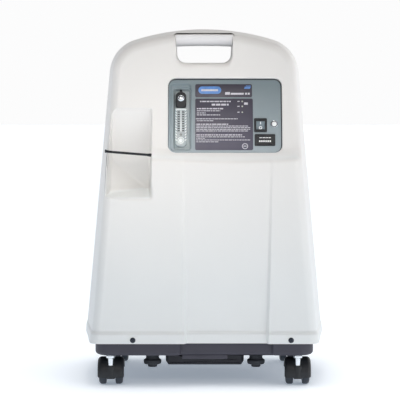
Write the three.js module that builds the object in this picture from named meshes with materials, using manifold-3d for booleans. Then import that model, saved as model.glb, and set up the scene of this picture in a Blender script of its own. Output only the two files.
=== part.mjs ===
// Home oxygen concentrator: a two-shell cabinet on four twin-wheel casters, with its control
// panel, flowmeter, bottle pocket and the working parts inside.
//
// Millimetres. +Z is up, -Y is the front, +X is to the right of someone facing the front.
// The origin is on the floor, below the middle of the machine.

import * as THREE from 'three';
import { mergeVertices } from 'three/addons/utils/BufferGeometryUtils.js';
import { ConvexGeometry } from 'three/addons/geometries/ConvexGeometry.js';
import Module from 'manifold-3d';

const wasm = await Module();
wasm.setup();

// ---------------------------------------------------------------- driving dimensions

const GAP = 0.3;                 // running clearance between pieces that meet
const FAR = 250;                 // half-length of a tool that cuts right through the machine
const DEG = Math.PI / 180;

const CABINET = {
  footZ: 83,                     // lower edge of both shells
  skirtTopZ: 102,                // top of the thicker band along that edge
  skirtProud: 3,
  footHalfWidth: 229.5,          // at the seam between the shells
  sideTaper: 0.0925,             // half-width lost per millimetre of height
  topZ: 670,
  archRadius: 450,
  shoulderRadius: 70,
  sideDraft: Math.tan(6 * DEG),  // inset per millimetre of depth, from the seam forwards or back
  edgeRadius: 15,                // fillet between the sides and the front or rear face
  wall: 4,
  seamHalfGap: 0.25,
};

// Front face: a lower body, a ledge, then a console that leans back.
const FRONT = {
  footDepth: 178,                // forward of the seam, at the top of the skirt
  ledgeZ: 421,
  ledgeDepth: 158,
  consoleZ: 432,                 // where the console starts, behind the ledge
  consoleDepth: 146,
  consoleLean: 17 * DEG,
  skirtDepth: 181,
};

const REAR = {
  footDepth: 178,
  kneeZ: 430,
  kneeDepth: 160,
  topSlope: 0.28,
  skirtDepth: 181,
};

const RECESS = {                 // shallow channel down the lower front
  leftTopX: -42.6,
  leftFootX: -38,
  rightTopX: 128.7,
  rightFootX: 120.7,
  topZ: 414,
  topDepth: 3,
  footDepth: 9,
  wallRun: 6,
};

const POCKET = {                 // bottle pocket, front left
  topZ: 522,
  backTopY: -117,
  backOverhang: 0.2,             // the back wall leans forward going up
  shelfFrontY: -158,
  shelfZ: 356,
  facetFoot: { x: -181, y: -112, z: 370 },   // back left corner of the shelf
  deepest: { x: -108, y: -88, z: 366.8 },    // back right corner of the shelf
  valleyZ: 432,                  // where the slanted left facet starts
  leftTopX: -172.5,
  leftValleyX: -178,
  leftFootX: -184,
  rightTopX: -93,
  rightFootX: -99.3,
  mouthY: -200,
  wall: 6,
};

const HANDLE = {
  halfWidthTop: 55,
  halfWidthHole: 52,
  recessTopZ: 659,
  gripBottomZ: 637,
  gripSunk: 3,                   // below the faces of the shells
  holeBottomZ: 605,
  cornerRadius: 12,
};

// Control panel, in the console's own frame: u to the right, v up the slope, w outwards.
const PANEL = {
  leftU: -68,
  rightU: 146,
  bottomV: 6.8,
  topV: 151.6,
  cornerRadius: 15,
  sunk: 3.5,
  thickness: 3,
  flange: 7,
  wellDepth: 15,
};

const WELL = { leftU: -57.5, rightU: -25.5, bottomV: 15, topV: 133, cornerRadius: 5 };
const FLOWMETER = { u: -43.8, halfWidth: 11.4, bottomV: 21, topV: 95, thickness: 12, boreRadius: 4.6 };
const VALVE = { halfWidth: 10, bottomV: 95.3, topV: 126.6, thickness: 11, knobV: 112.9, knobRadius: 6.6 };
const FLOAT = { radius: 3.2, seatV: 42.5 };
const HEADER = { leftU: -17, rightU: 90, bottomV: 115, topV: 140.6, cornerRadius: 3, thickness: 0.6 };
const NOTICE = { leftU: -17, rightU: 91.5, bottomV: 12.1, topV: 112.2, cornerRadius: 3, thickness: 0.6 };
const INDICATOR = { u: 71.5, v: [106.7, 97.2, 85.7], radius: 1.5 };
const SWITCH = { u: 105.6, v: 60.2, width: 24.1, height: 27, openWidth: 16.4, openHeight: 16.4, proud: 2 };
const BREAKER = { u: 131.3, v: 62.5, collarRadius: 6.4, buttonRadius: 4.2 };
const METER = { u: 113.7, v: 31.6, width: 38.6, height: 22.7, proud: 1.6 };

const BASE = {
  bottomZ: 59,
  halfWidth: 205,
  halfDepth: 172,
  cornerRadius: 30,
  floor: 4,
  wall: 4,
  stepLeftX: -44,
  stepRightX: 127,
  stepDepth: 6,
  lipLeftX: -42,
  lipRightX: 44,
  lipZ: 52,
};

const DUCT = { leftX: -73, rightX: 75, bottomInset: 5, frontY: -128, rearY: 70, bottomZ: 35 };
const ISOLATOR = { x: 98, frontY: -120, rearY: 112, flangeRadius: 17, bossRadius: 8.8, bottomZ: 31 };

const CASTER = {
  x: 176,
  frontY: -150,
  rearY: 128,
  trail: 20,
  wheelRadius: 24,
  wheelInner: 8.5,               // from the middle of the caster to the wheel's inner face
  wheelOuter: 23.5,
  hoodRadius: 28,
  hoodSkin: 2.6,
  hoodFrontAngle: -20 * DEG,
  hoodRearAngle: 162 * DEG,
  webHalfWidth: 7.9,
  axleRadius: 3,
  stemRadius: 5.3,
  stemFootZ: 20.3,
  bossBottomZ: 14.5,
  bossTopZ: 37,
  collarRadius: 7.6,
  collarBottomZ: 53,
};

const SCREW = { headRadius: 5, headHeight: 1.5, shankRadius: 2.2, shankLength: 12, z: 90 };
const FRONT_SCREW_X = { left: -133.4, right: 161.8 };
const REAR_SCREW_X = { left: -150, right: 150 };

const FILTER = { z: 374, width: 170, height: 100, frameBar: 9, thickness: 7, proud: 2.5 };
const LOUVRE = { z: 230, width: 190, height: 5, pitch: 13, count: 6 };
const GLAND = { x: -120, z: 146, flangeRadius: 13, noseRadius: 8 };

// The strap lies clear of the cabinet's rounded edge and drops a little from left to right.
const STRAP = {
  z: 437,
  tilt: 4.6 * DEG,
  height: 4.5,
  thickness: 1.4,
  clearance: 2.4,
  rightX: -93,
  pivotX: -140,
};

const PUMP = { y: 0, z: 135, motorRadius: 50, motorHalf: 60, headRadius: 38, headHalf: 27, shaftRadius: 7 };
const FAN = { y: -8, z: 222, half: 70, depth: 30, throat: 64, bladeTip: 60, hub: 20, blades: 7 };
const SIEVE_BED = { x: 146, y: 96, radius: 37, topZ: 345 };
const PRODUCT_TANK = { y: 110, radius: 40, topZ: 320 };
const COIL = { x: -160, y: -72, z: 90, radius: 30, tubeRadius: 4.5, pitch: 26, turns: 3 };
const BOARD = { leftX: -60, rightX: 110, y: -50, bottomZ: 440, topZ: 560 };
const SILENCER = { x: 158, y: -85, radius: 30, shoulderZ: 196, neckRadius: 9, topZ: 226 };

// ---------------------------------------------------------------- materials

function plastic(color, roughness = 0.5) {
  return new THREE.MeshStandardMaterial({ color, roughness, metalness: 0 });
}

function metal(color, roughness = 0.3) {
  return new THREE.MeshStandardMaterial({ color, roughness, metalness: 1 });
}

const MATERIALS = {
  cabinet: plastic(0xe3e5e5, 0.5),
  panel: plastic(0x8d9ca1, 0.45),
  label: plastic(0x625b6b, 0.4),
  clear: new THREE.MeshStandardMaterial({ color: 0xd9e0e2, roughness: 0.1, transparent: true, opacity: 0.5 }),
  black: plastic(0x1c1f22, 0.4),
  base: plastic(0x4b4750, 0.55),
  duct: plastic(0x2a2a2f, 0.6),
  rubber: plastic(0x26272a, 0.85),
  grey: plastic(0x97a4a8, 0.4),
  chrome: metal(0xd4d8db, 0.18),
  steel: metal(0x9aa0a4, 0.35),
  aluminium: metal(0xb6babd, 0.45),
  copper: metal(0xb87345, 0.35),
  foam: plastic(0x2e2f33, 0.95),
  webbing: plastic(0x17181a, 0.8),
  indicator: plastic(0xb9c0b4, 0.2),
  board: plastic(0x2f6b46, 0.5),
};

// ---------------------------------------------------------------- geometry helpers

const object = new THREE.Group();

// A closed geometry whose triangles all face outwards, with its shared corners merged.
function closed(geometry) {
  const bare = geometry.clone();
  for (const name of Object.keys(bare.attributes)) {
    if (name !== 'position') bare.deleteAttribute(name);
  }
  const merged = mergeVertices(bare, 1e-4);
  const index = merged.index.array;
  if (signedVolume(merged) < 0) {
    for (let i = 0; i < index.length; i += 3) {
      [index[i], index[i + 1]] = [index[i + 1], index[i]];
    }
  }
  return merged;
}

function signedVolume(geometry) {
  const corner = [new THREE.Vector3(), new THREE.Vector3(), new THREE.Vector3()];
  const position = geometry.attributes.position;
  const index = geometry.index.array;
  let volume = 0;
  for (let i = 0; i < index.length; i += 3) {
    corner.forEach((point, k) => point.fromBufferAttribute(position, index[i + k]));
    volume += corner[0].dot(corner[1].clone().cross(corner[2])) / 6;
  }
  return volume;
}

function solid(geometry) {
  const source = closed(geometry);
  return new wasm.Manifold(new wasm.Mesh({
    numProp: 3,
    vertProperties: new Float32Array(source.attributes.position.array),
    triVerts: new Uint32Array(source.index.array),
  }));
}

function geometryOf(manifold) {
  const mesh = manifold.getMesh();
  const geometry = new THREE.BufferGeometry();
  geometry.setAttribute('position', new THREE.BufferAttribute(new Float32Array(mesh.vertProperties), 3));
  geometry.setIndex(new THREE.BufferAttribute(new Uint32Array(mesh.triVerts), 1));
  return geometry;
}

function union(first, ...others) {
  return geometryOf(others.reduce((sum, item) => sum.add(solid(item)), solid(first)));
}

function cut(first, ...others) {
  return geometryOf(others.reduce((rest, item) => rest.subtract(solid(item)), solid(first)));
}

function common(first, second) {
  return geometryOf(solid(first).intersect(solid(second)));
}

// Adds one named piece to the model, or to a sub-group of it.
function piece(name, geometry, material, parent = object) {
  const shape = closed(geometry);
  shape.computeVertexNormals();
  const mesh = new THREE.Mesh(shape, material);
  mesh.name = name;
  parent.add(mesh);
  return mesh;
}

// Extrudes an outline drawn in Y and Z along X, from -half to half.
function across(shape, half, curveSegments = 4) {
  const yzToXyz = new THREE.Matrix4().makeBasis(
    new THREE.Vector3(0, 1, 0), new THREE.Vector3(0, 0, 1), new THREE.Vector3(1, 0, 0),
  );
  return plate(shape, -half, half, curveSegments).applyMatrix4(yzToXyz);
}

function outline(points) {
  return new THREE.Shape(points.map(([x, y]) => new THREE.Vector2(x, y)));
}

function box(minX, maxX, minY, maxY, minZ, maxZ) {
  const geometry = new THREE.BoxGeometry(maxX - minX, maxY - minY, maxZ - minZ);
  return geometry.translate((minX + maxX) / 2, (minY + maxY) / 2, (minZ + maxZ) / 2);
}

function hull(points) {
  return new ConvexGeometry(points.map((point) => new THREE.Vector3(...point)));
}

// Extrudes a flat outline along +Z, from z = low to z = high.
function plate(shape, low, high, curveSegments = 4) {
  const geometry = new THREE.ExtrudeGeometry(shape, { depth: high - low, bevelEnabled: false, curveSegments });
  return geometry.translate(0, 0, low);
}

function roundedRectangle(minX, maxX, minY, maxY, radius) {
  const shape = new THREE.Shape();
  shape.moveTo(minX + radius, minY);
  shape.lineTo(maxX - radius, minY);
  shape.absarc(maxX - radius, minY + radius, radius, -Math.PI / 2, 0);
  shape.lineTo(maxX, maxY - radius);
  shape.absarc(maxX - radius, maxY - radius, radius, 0, Math.PI / 2);
  shape.lineTo(minX + radius, maxY);
  shape.absarc(minX + radius, maxY - radius, radius, Math.PI / 2, Math.PI);
  shape.lineTo(minX, minY + radius);
  shape.absarc(minX + radius, minY + radius, radius, Math.PI, Math.PI * 1.5);
  return shape;
}

function block(minX, maxX, minY, maxY, minZ, maxZ, radius, segments = 3) {
  return plate(roundedRectangle(minX, maxX, minY, maxY, radius), minZ, maxZ, segments);
}

function centredBlock(x, y, width, height, minZ, maxZ, radius) {
  return block(x - width / 2, x + width / 2, y - height / 2, y + height / 2, minZ, maxZ, radius);
}

// A solid of revolution about the Z axis, from [radius, z] pairs that start and end on the axis.
function turned(profile, segments = 20) {
  const points = profile.map(([radius, z]) => new THREE.Vector2(radius, z));
  return new THREE.LatheGeometry(points, segments).rotateX(Math.PI / 2);
}

function cylinderZ(radius, low, high, segments = 20) {
  return turned([[0, low], [radius, low], [radius, high], [0, high]], segments);
}

function cylinderX(radius, low, high, segments = 20) {
  return cylinderZ(radius, low, high, segments).rotateY(Math.PI / 2);
}

// Points every few degrees along an arc, both ends included.
function arc(centreX, centreY, radius, start, end, steps) {
  return Array.from({ length: steps + 1 }, (_, i) => {
    const angle = start + ((end - start) * i) / steps;
    return [centreX + radius * Math.cos(angle), centreY + radius * Math.sin(angle)];
  });
}

// ---------------------------------------------------------------- cabinet form

const taperAngle = Math.atan(CABINET.sideTaper);

function seamHalfWidth(z) {
  return CABINET.footHalfWidth - CABINET.sideTaper * (z - CABINET.footZ);
}

// Centre of the shoulder arc, which touches the tapering side and the arched top.
function shoulderCentre() {
  const { archRadius, shoulderRadius, topZ, footHalfWidth, footZ } = CABINET;
  const normal = new THREE.Vector2(Math.cos(taperAngle), Math.sin(taperAngle));
  const along = new THREE.Vector2(-normal.y, normal.x);
  const sideOffset = footHalfWidth * normal.x + footZ * normal.y;
  const foot = normal.clone().multiplyScalar(sideOffset - shoulderRadius);
  const fromArch = foot.clone().sub(new THREE.Vector2(0, topZ - archRadius));
  const reach = archRadius - shoulderRadius;
  const half = along.dot(fromArch);
  const rise = Math.sqrt(half * half - fromArch.lengthSq() + reach * reach) - half;
  return foot.add(along.multiplyScalar(rise));
}

const SHOULDER = shoulderCentre();

// Outline of the cabinet's top, from the right shoulder to the left one, moved inwards by inset.
function topOutline(inset) {
  const archZ = CABINET.topZ - CABINET.archRadius;
  const meet = Math.atan2(SHOULDER.y - archZ, SHOULDER.x);
  const shoulder = arc(SHOULDER.x, SHOULDER.y, CABINET.shoulderRadius - inset, taperAngle, meet, 6);
  const arch = arc(0, archZ, CABINET.archRadius - inset, meet, Math.PI / 2, 5).slice(1);
  const right = shoulder.concat(arch);
  const left = right.slice(0, -1).reverse().map(([x, z]) => [-x, z]);
  return right.concat(left);
}

const consoleSlope = Math.tan(FRONT.consoleLean);

function consoleDepth(z) {
  return FRONT.consoleDepth - consoleSlope * (z - FRONT.consoleZ);
}

function lowerFrontDepth(z) {
  const rate = (FRONT.footDepth - FRONT.ledgeDepth) / (FRONT.ledgeZ - CABINET.skirtTopZ);
  return FRONT.footDepth - rate * (z - CABINET.skirtTopZ);
}

function rearDepth(z) {
  if (z > REAR.kneeZ) return REAR.kneeDepth - REAR.topSlope * (z - REAR.kneeZ);
  const rate = (REAR.footDepth - REAR.kneeDepth) / (REAR.kneeZ - CABINET.skirtTopZ);
  return REAR.footDepth - rate * (z - CABINET.skirtTopZ);
}

// Inset and depth of the fillet between a side and a face of the given depth, from side to face.
function edgeSteps(depth, radius, steps) {
  return arc(0, 0, radius, 0, Math.PI / 2, steps).map(([out, up]) => ({
    inset: (depth - radius) * CABINET.sideDraft + radius - out,
    depth: depth - radius + up,
  }));
}

// Right and left points of the cabinet's section at one height, from the seam to the face.
function sectionPoints(z, depth, facing, wall, steps, proud = 0) {
  const radius = CABINET.edgeRadius - wall;
  const half = seamHalfWidth(z) + proud - wall;
  const rings = [{ inset: 0, depth: 0 }, ...edgeSteps(depth - wall, radius, steps)];
  return rings.flatMap((ring) => {
    const x = half - ring.inset;
    return [[x, facing * ring.depth, z], [-x, facing * ring.depth, z]];
  });
}

function crownPoints(depthAt, facing, wall, steps) {
  const radius = CABINET.edgeRadius - wall;
  const points = topOutline(wall).map(([x, z]) => [x, 0, z]);
  for (let k = 0; k <= steps; k += 1) {
    const angle = (Math.PI / 2) * (k / steps);
    const inset = radius * (1 - Math.cos(angle));
    for (const [x, z] of topOutline(wall)) {
      const side = depthAt(z) - wall - radius;
      const moved = topOutline(wall + side * CABINET.sideDraft + inset);
      const near = moved.reduce((best, p) => (distance2(p, [x, z]) < distance2(best, [x, z]) ? p : best));
      points.push([near[0], facing * (side + radius * Math.sin(angle)), near[1]]);
    }
  }
  return points;
}

function distance2(a, b) {
  return (a[0] - b[0]) ** 2 + (a[1] - b[1]) ** 2;
}

function frontBody(wall, footZ) {
  const upper = hull([
    ...sectionPoints(FRONT.ledgeZ - 25, FRONT.consoleDepth, -1, wall, 3),
    ...sectionPoints(FRONT.consoleZ, FRONT.consoleDepth, -1, wall, 3),
    ...crownPoints(consoleDepth, -1, wall, 3),
  ]);
  const ledge = [
    [FRONT.ledgeZ - 8, 0],
    [FRONT.ledgeZ + 1, 2],
    [FRONT.ledgeZ + 6, 6],
    [FRONT.consoleZ, 12],
  ];
  const lower = hull([
    ...sectionPoints(footZ, lowerFrontDepth(footZ), -1, wall, 3),
    ...ledge.flatMap(([z, back]) => sectionPoints(z - wall / 2, lowerFrontDepth(z) - back, -1, wall, 3)),
  ]);
  return { upper, lower };
}

function rearBody(wall, footZ) {
  return hull([
    ...sectionPoints(footZ, rearDepth(footZ), 1, wall, 3),
    ...sectionPoints(REAR.kneeZ, rearDepth(REAR.kneeZ), 1, wall, 3),
    ...crownPoints(rearDepth, 1, wall, 3),
  ]);
}

function skirtBand(depth, facing) {
  const levels = [CABINET.footZ, CABINET.skirtTopZ - 2];
  const proud = levels.flatMap((z) => sectionPoints(z, depth, facing, 0, 3, CABINET.skirtProud / 2));
  const flush = sectionPoints(CABINET.skirtTopZ + 1, depth - CABINET.skirtProud, facing, 0, 3);
  return hull([...proud, ...flush]);
}

// Everything on one side of the seam, and above the lower edge of the shells.
function keepRegion(facing) {
  const low = facing < 0 ? -FAR : CABINET.seamHalfGap;
  const high = facing < 0 ? -CABINET.seamHalfGap : FAR;
  return box(-FAR, FAR, low, high, CABINET.footZ, CABINET.topZ + 10);
}

// The bottle pocket's space, grown outwards all round by grow.
function pocketSpace(grow) {
  const backY = (z) => POCKET.backTopY + POCKET.backOverhang * (POCKET.topZ - z);
  const { facetFoot, deepest } = POCKET;
  const corners = [
    [POCKET.leftTopX, backY(POCKET.topZ), POCKET.topZ],
    [POCKET.rightTopX - 6, backY(POCKET.topZ), POCKET.topZ],
    [POCKET.leftValleyX, backY(POCKET.valleyZ), POCKET.valleyZ],
    [facetFoot.x, facetFoot.y, facetFoot.z],
    [deepest.x, deepest.y, deepest.z],
    [POCKET.leftFootX, POCKET.shelfFrontY, POCKET.shelfZ],
    [POCKET.rightFootX, POCKET.shelfFrontY, POCKET.shelfZ],
    [POCKET.leftTopX, POCKET.mouthY, POCKET.topZ],
    [POCKET.rightTopX, POCKET.mouthY, POCKET.topZ],
    [POCKET.leftFootX, POCKET.mouthY, POCKET.shelfZ - 4],
    [POCKET.rightFootX, POCKET.mouthY, POCKET.shelfZ - 4],
  ];
  const middle = new THREE.Vector3(-140, -150, POCKET.valleyZ);
  return hull(corners.map((corner) => {
    const point = new THREE.Vector3(...corner);
    const outwards = point.clone().sub(middle).normalize();
    return point.addScaledVector(outwards, grow).toArray();
  }));
}

function recessSpace(grow) {
  const levels = [
    { z: RECESS.topZ, left: RECESS.leftTopX, right: RECESS.rightTopX, sunk: RECESS.topDepth },
    { z: CABINET.footZ - 1, left: RECESS.leftFootX, right: RECESS.rightFootX, sunk: RECESS.footDepth },
  ];
  return hull(levels.flatMap(({ z, left, right, sunk }) => {
    const floorY = -(lowerFrontDepth(z) - sunk) + grow;
    return [
      [left + RECESS.wallRun - grow, floorY, z],
      [right - RECESS.wallRun + grow, floorY, z],
      [left - grow, floorY - sunk - 1, z],
      [right + grow, floorY - sunk - 1, z],
      [left - grow, -FAR, z],
      [right + grow, -FAR, z],
    ];
  }));
}

// The hand opening, which runs through both shells; the grip fills its upper part.
function handSpace(grow, topZ) {
  const low = HANDLE.holeBottomZ - grow;
  const shape = new THREE.Shape();
  const top = HANDLE.halfWidthTop + grow;
  const half = HANDLE.halfWidthHole + grow;
  const radius = HANDLE.cornerRadius + grow;
  shape.moveTo(-half + radius, low);
  shape.lineTo(half - radius, low);
  shape.absarc(half - radius, low + radius, radius, -Math.PI / 2, 0);
  shape.lineTo(top, topZ);
  shape.lineTo(-top, topZ);
  shape.lineTo(-half, low + radius);
  shape.absarc(-half + radius, low + radius, radius, Math.PI, Math.PI * 1.5);
  return plate(shape, -FAR, FAR).rotateX(Math.PI / 2);
}

// ---------------------------------------------------------------- console frame

// Anything added to this group is laid out in the console's own u, v, w directions.
const consoleFrame = new THREE.Group();
consoleFrame.position.set(0, -FRONT.consoleDepth, FRONT.consoleZ);
consoleFrame.rotation.x = Math.PI / 2 - FRONT.consoleLean;
consoleFrame.updateMatrixWorld(true);
object.add(consoleFrame);

function onConsole(geometry) {
  return geometry.applyMatrix4(consoleFrame.matrixWorld);
}

function panelOutline(grow) {
  const { leftU, rightU, bottomV, topV, cornerRadius } = PANEL;
  return roundedRectangle(leftU - grow, rightU + grow, bottomV - grow, topV + grow, cornerRadius + grow);
}

// ---------------------------------------------------------------- shells

function screwHole(x, facing) {
  const hole = cylinderZ(SCREW.shankRadius + 0.5, -40, 40, 12).rotateX(Math.PI / 2);
  return hole.translate(x, facing * FRONT.skirtDepth, SCREW.z);
}

// Clears the bottom of a shell and its inner edge at the seam.
function footOpening(facing) {
  const ys = [facing * (FRONT.ledgeDepth - 8), -facing * 5].sort((a, b) => a - b);
  return box(-200, 200, ...ys, BASE.bottomZ, CABINET.footZ + 7);
}

function frontCabinet() {
  const outer = frontBody(0, CABINET.footZ - 1);
  const inner = frontBody(CABINET.wall, CABINET.footZ - 20);
  let skin = union(outer.upper, outer.lower, skirtBand(FRONT.skirtDepth, -1));
  skin = common(skin, keepRegion(-1));
  let hollow = union(inner.upper, inner.lower);
  hollow = union(hollow, footOpening(-1));
  hollow = cut(hollow, pocketSpace(POCKET.wall), recessSpace(CABINET.wall));
  hollow = cut(hollow, handSpace(CABINET.wall, CABINET.topZ + 50));
  const window = onConsole(plate(panelOutline(0), -40, 30));
  const seat = onConsole(plate(panelOutline(PANEL.flange + 1), -30, -CABINET.wall));
  return cut(
    skin, hollow, pocketSpace(0), recessSpace(0), handSpace(0, HANDLE.recessTopZ), window, seat,
    screwHole(FRONT_SCREW_X.left, -1), screwHole(FRONT_SCREW_X.right, -1),
  );
}

const rearTilt = Math.atan((REAR.footDepth - REAR.kneeDepth) / (REAR.kneeZ - CABINET.skirtTopZ));

// Anything added to this group lies on the rear face: local X to the left, Y up, Z outwards.
function rearFrame(z) {
  const group = new THREE.Group();
  group.position.set(0, rearDepth(z), z);
  group.rotation.set(Math.PI / 2 + rearTilt, Math.PI, 0, 'XYZ');
  group.updateMatrixWorld(true);
  object.add(group);
  return group;
}

const filterFrame = rearFrame(FILTER.z);
const louvreFrame = rearFrame(LOUVRE.z);

function rearCabinet() {
  let skin = union(rearBody(0, CABINET.footZ - 1), skirtBand(REAR.skirtDepth, 1));
  skin = common(skin, keepRegion(1));
  let hollow = rearBody(CABINET.wall, CABINET.footZ - 20);
  hollow = union(hollow, footOpening(1));
  hollow = cut(hollow, handSpace(CABINET.wall, CABINET.topZ + 50));
  const halfW = FILTER.width / 2;
  const halfH = FILTER.height / 2;
  const opening = block(-halfW, halfW, -halfH, halfH, -30, 30, 10);
  const half = LOUVRE.width / 2;
  const rise = LOUVRE.height / 2;
  const slots = Array.from({ length: LOUVRE.count }, (_, i) => {
    const y = (i - (LOUVRE.count - 1) / 2) * LOUVRE.pitch;
    const slot = block(-half, half, y - rise, y + rise, -30, 30, rise - 0.1, 2);
    return slot.applyMatrix4(louvreFrame.matrixWorld);
  });
  const glandHole = cylinderZ(GLAND.noseRadius + 1.5, -40, 40).rotateX(Math.PI / 2)
    .translate(GLAND.x, rearDepth(GLAND.z), GLAND.z);
  return cut(
    skin, hollow, handSpace(0, HANDLE.recessTopZ), opening.applyMatrix4(filterFrame.matrixWorld),
    ...slots, glandHole, screwHole(REAR_SCREW_X.left, 1), screwHole(REAR_SCREW_X.right, 1),
  );
}

function handleGrip() {
  const middleZ = (HANDLE.gripBottomZ + HANDLE.recessTopZ) / 2;
  const frontY = -(consoleDepth(middleZ) - HANDLE.gripSunk);
  const rearY = rearDepth(middleZ) - HANDLE.gripSunk;
  const low = HANDLE.gripBottomZ;
  const high = HANDLE.recessTopZ - GAP;
  const lean = consoleSlope * (high - low);
  const section = [
    [frontY + lean / 2, high],
    [frontY, high - 5],
    [frontY, low + 9],
    [frontY + 4, low + 3],
    [frontY + 11, low],
    [rearY - 11, low],
    [rearY - 4, low + 3],
    [rearY, low + 9],
    [rearY, high - 5],
    [rearY - lean / 2, high],
  ];
  const narrow = HANDLE.halfWidthHole - 0.4;
  const wide = HANDLE.halfWidthTop - 1;
  const bar = across(outline(section), wide);
  const trim = outline([[-narrow, low - 1], [narrow, low - 1], [wide, high + 1], [-wide, high + 1]]);
  return common(bar, plate(trim, -FAR, FAR).rotateX(Math.PI / 2));
}

piece('front_cabinet', frontCabinet(), MATERIALS.cabinet);
piece('rear_cabinet', rearCabinet(), MATERIALS.cabinet);
piece('handle_grip', handleGrip(), MATERIALS.cabinet);

// ---------------------------------------------------------------- control panel and its fittings

const faceW = -PANEL.sunk;       // front surface of the panel
const onFace = faceW + GAP;      // where pieces stuck or seated on the panel start
const backW = faceW - PANEL.thickness;

function wellOutline(grow) {
  const { leftU, rightU, bottomV, topV, cornerRadius } = WELL;
  return roundedRectangle(leftU - grow, rightU + grow, bottomV - grow, topV + grow, cornerRadius + grow);
}

function controlPanel() {
  const front = plate(panelOutline(-GAP), backW, faceW);
  const flange = plate(panelOutline(PANEL.flange), backW, -CABINET.wall - GAP);
  const cup = plate(wellOutline(2.5), faceW - PANEL.wellDepth - 2.5, backW + 0.5);
  const switchHole = box(
    SWITCH.u - 10, SWITCH.u + 10, SWITCH.v - 11.5, SWITCH.v + 11.5, -20, 10,
  );
  const meterHole = box(METER.u - 17, METER.u + 17, METER.v - 9, METER.v + 9, -20, 10);
  const breakerHole = cylinderZ(5.6, -20, 10).translate(BREAKER.u, BREAKER.v, 0);
  const body = union(front, flange, cup);
  return cut(body, plate(wellOutline(0), faceW - PANEL.wellDepth, 10), switchHole, meterHole, breakerHole,
    ...INDICATOR.v.map((v) => cylinderZ(INDICATOR.radius + GAP, -20, 10, 12).translate(INDICATOR.u, v, 0)));
}

function label(dims, holes) {
  const { leftU, rightU, bottomV, topV, cornerRadius, thickness } = dims;
  const sheet = block(leftU, rightU, bottomV, topV, onFace, onFace + thickness, cornerRadius);
  return holes.length ? cut(sheet, ...holes) : sheet;
}

// One clear moulding behind the label, with a dot for each of the three status lights.
function indicatorLightPipe() {
  const bar = box(
    INDICATOR.u - 3, INDICATOR.u + 3, INDICATOR.v[2] - 4, INDICATOR.v[0] + 4, backW - 3, backW - GAP,
  );
  const dots = INDICATOR.v.map((v) => cylinderZ(INDICATOR.radius, backW - 1, onFace + 0.8, 12)
    .translate(INDICATOR.u, v, 0));
  return union(bar, ...dots);
}

const wellFloorW = faceW - PANEL.wellDepth + GAP;

// Clear block with a vertical bore for the float, open at the top under the valve body.
function flowmeterBlock() {
  const { u, halfWidth, bottomV, topV, thickness, boreRadius } = FLOWMETER;
  const body = block(u - halfWidth, u + halfWidth, bottomV, topV, wellFloorW, wellFloorW + thickness, 3);
  const bore = cylinderZ(boreRadius, FLOAT.seatV - FLOAT.radius - 0.5, topV + 5, 20);
  return cut(body, bore.rotateX(-Math.PI / 2).translate(u, 0, wellFloorW + thickness / 2));
}

function flowValveBody() {
  const { halfWidth, bottomV, topV, thickness, knobV } = VALVE;
  const { u } = FLOWMETER;
  const body = block(u - halfWidth, u + halfWidth, bottomV, topV, wellFloorW, wellFloorW + thickness, 7);
  const stem = cylinderZ(2.6, wellFloorW + thickness - 4, 40, 16).translate(u, knobV, 0);
  return cut(body, stem);
}

function flowKnob() {
  const seat = wellFloorW + VALVE.thickness;
  const r = VALVE.knobRadius;
  return turned([
    [0, seat - 3.5], [2.2, seat - 3.5], [2.2, seat + GAP], [r, seat + GAP],
    [r, seat + 4.6], [r - 0.9, seat + 5.6], [0, seat + 6],
  ], 22).translate(FLOWMETER.u, VALVE.knobV, 0);
}

function floatBall() {
  const ball = new THREE.SphereGeometry(FLOAT.radius, 12, 8);
  return ball.translate(FLOWMETER.u, FLOAT.seatV + 0.2, wellFloorW + FLOWMETER.thickness / 2);
}

function outletBarb() {
  const low = VALVE.topV + GAP;
  const middleW = wellFloorW + VALVE.thickness / 2;
  const profile = [[0, 0], [3.3, 0], [2.4, 2], [2.7, 2.2], [1.5, 4.6], [0, 4.6]];
  const barb = turned(profile.map(([radius, rise]) => [radius, low + rise]), 16);
  return barb.rotateX(-Math.PI / 2).translate(FLOWMETER.u, 0, middleW);
}

function switchBezel() {
  const { u, v, width, height, openWidth, openHeight, proud } = SWITCH;
  const rim = centredBlock(u, v, width, height, onFace, onFace + proud, 1.6);
  const body = box(u - 9.6, u + 9.6, v - 11, v + 11, -24, onFace + 0.5);
  const opening = box(
    u - openWidth / 2, u + openWidth / 2, v - openHeight / 2, v + openHeight / 2, -18, 10,
  );
  return cut(union(rim, body), opening);
}

// A rocker with two flats that meet at its pivot line; the lower flat is pressed in at rest.
function switchRocker() {
  const { openWidth, openHeight } = SWITCH;
  const half = openHeight / 2 - 0.9;
  const tilt = 9 * DEG;
  const section = outline([
    [-half, 0], [-half * 0.4, -6], [half * 0.4, -6], [half, 0], [half, 2.6], [0, 1.4], [-half, 2.6],
  ]);
  return across(section, openWidth / 2 - 0.5).rotateX(tilt);
}

function breakerCollar() {
  const r = BREAKER.collarRadius;
  return turned([
    [4.5, -18], [5.2, -18], [5.2, onFace], [r, onFace], [r, onFace + 1.4], [r - 0.6, onFace + 2],
    [4.5, onFace + 2], [4.5, -18],
  ], 20).translate(BREAKER.u, BREAKER.v, 0);
}

function breakerButton() {
  const r = BREAKER.buttonRadius;
  return turned([
    [0, -14], [r, -14], [r, onFace + 1.8], [r - 0.8, onFace + 3], [r - 2, onFace + 3.8], [0, onFace + 4.2],
  ], 18).translate(BREAKER.u, BREAKER.v, 0);
}

function hourMeter() {
  const { u, v, width, height, proud } = METER;
  const rim = centredBlock(u, v, width, height, onFace, onFace + proud, 1.4);
  return union(rim, box(u - 16.5, u + 16.5, v - 8.5, v + 8.5, -22, onFace + 0.5));
}

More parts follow.
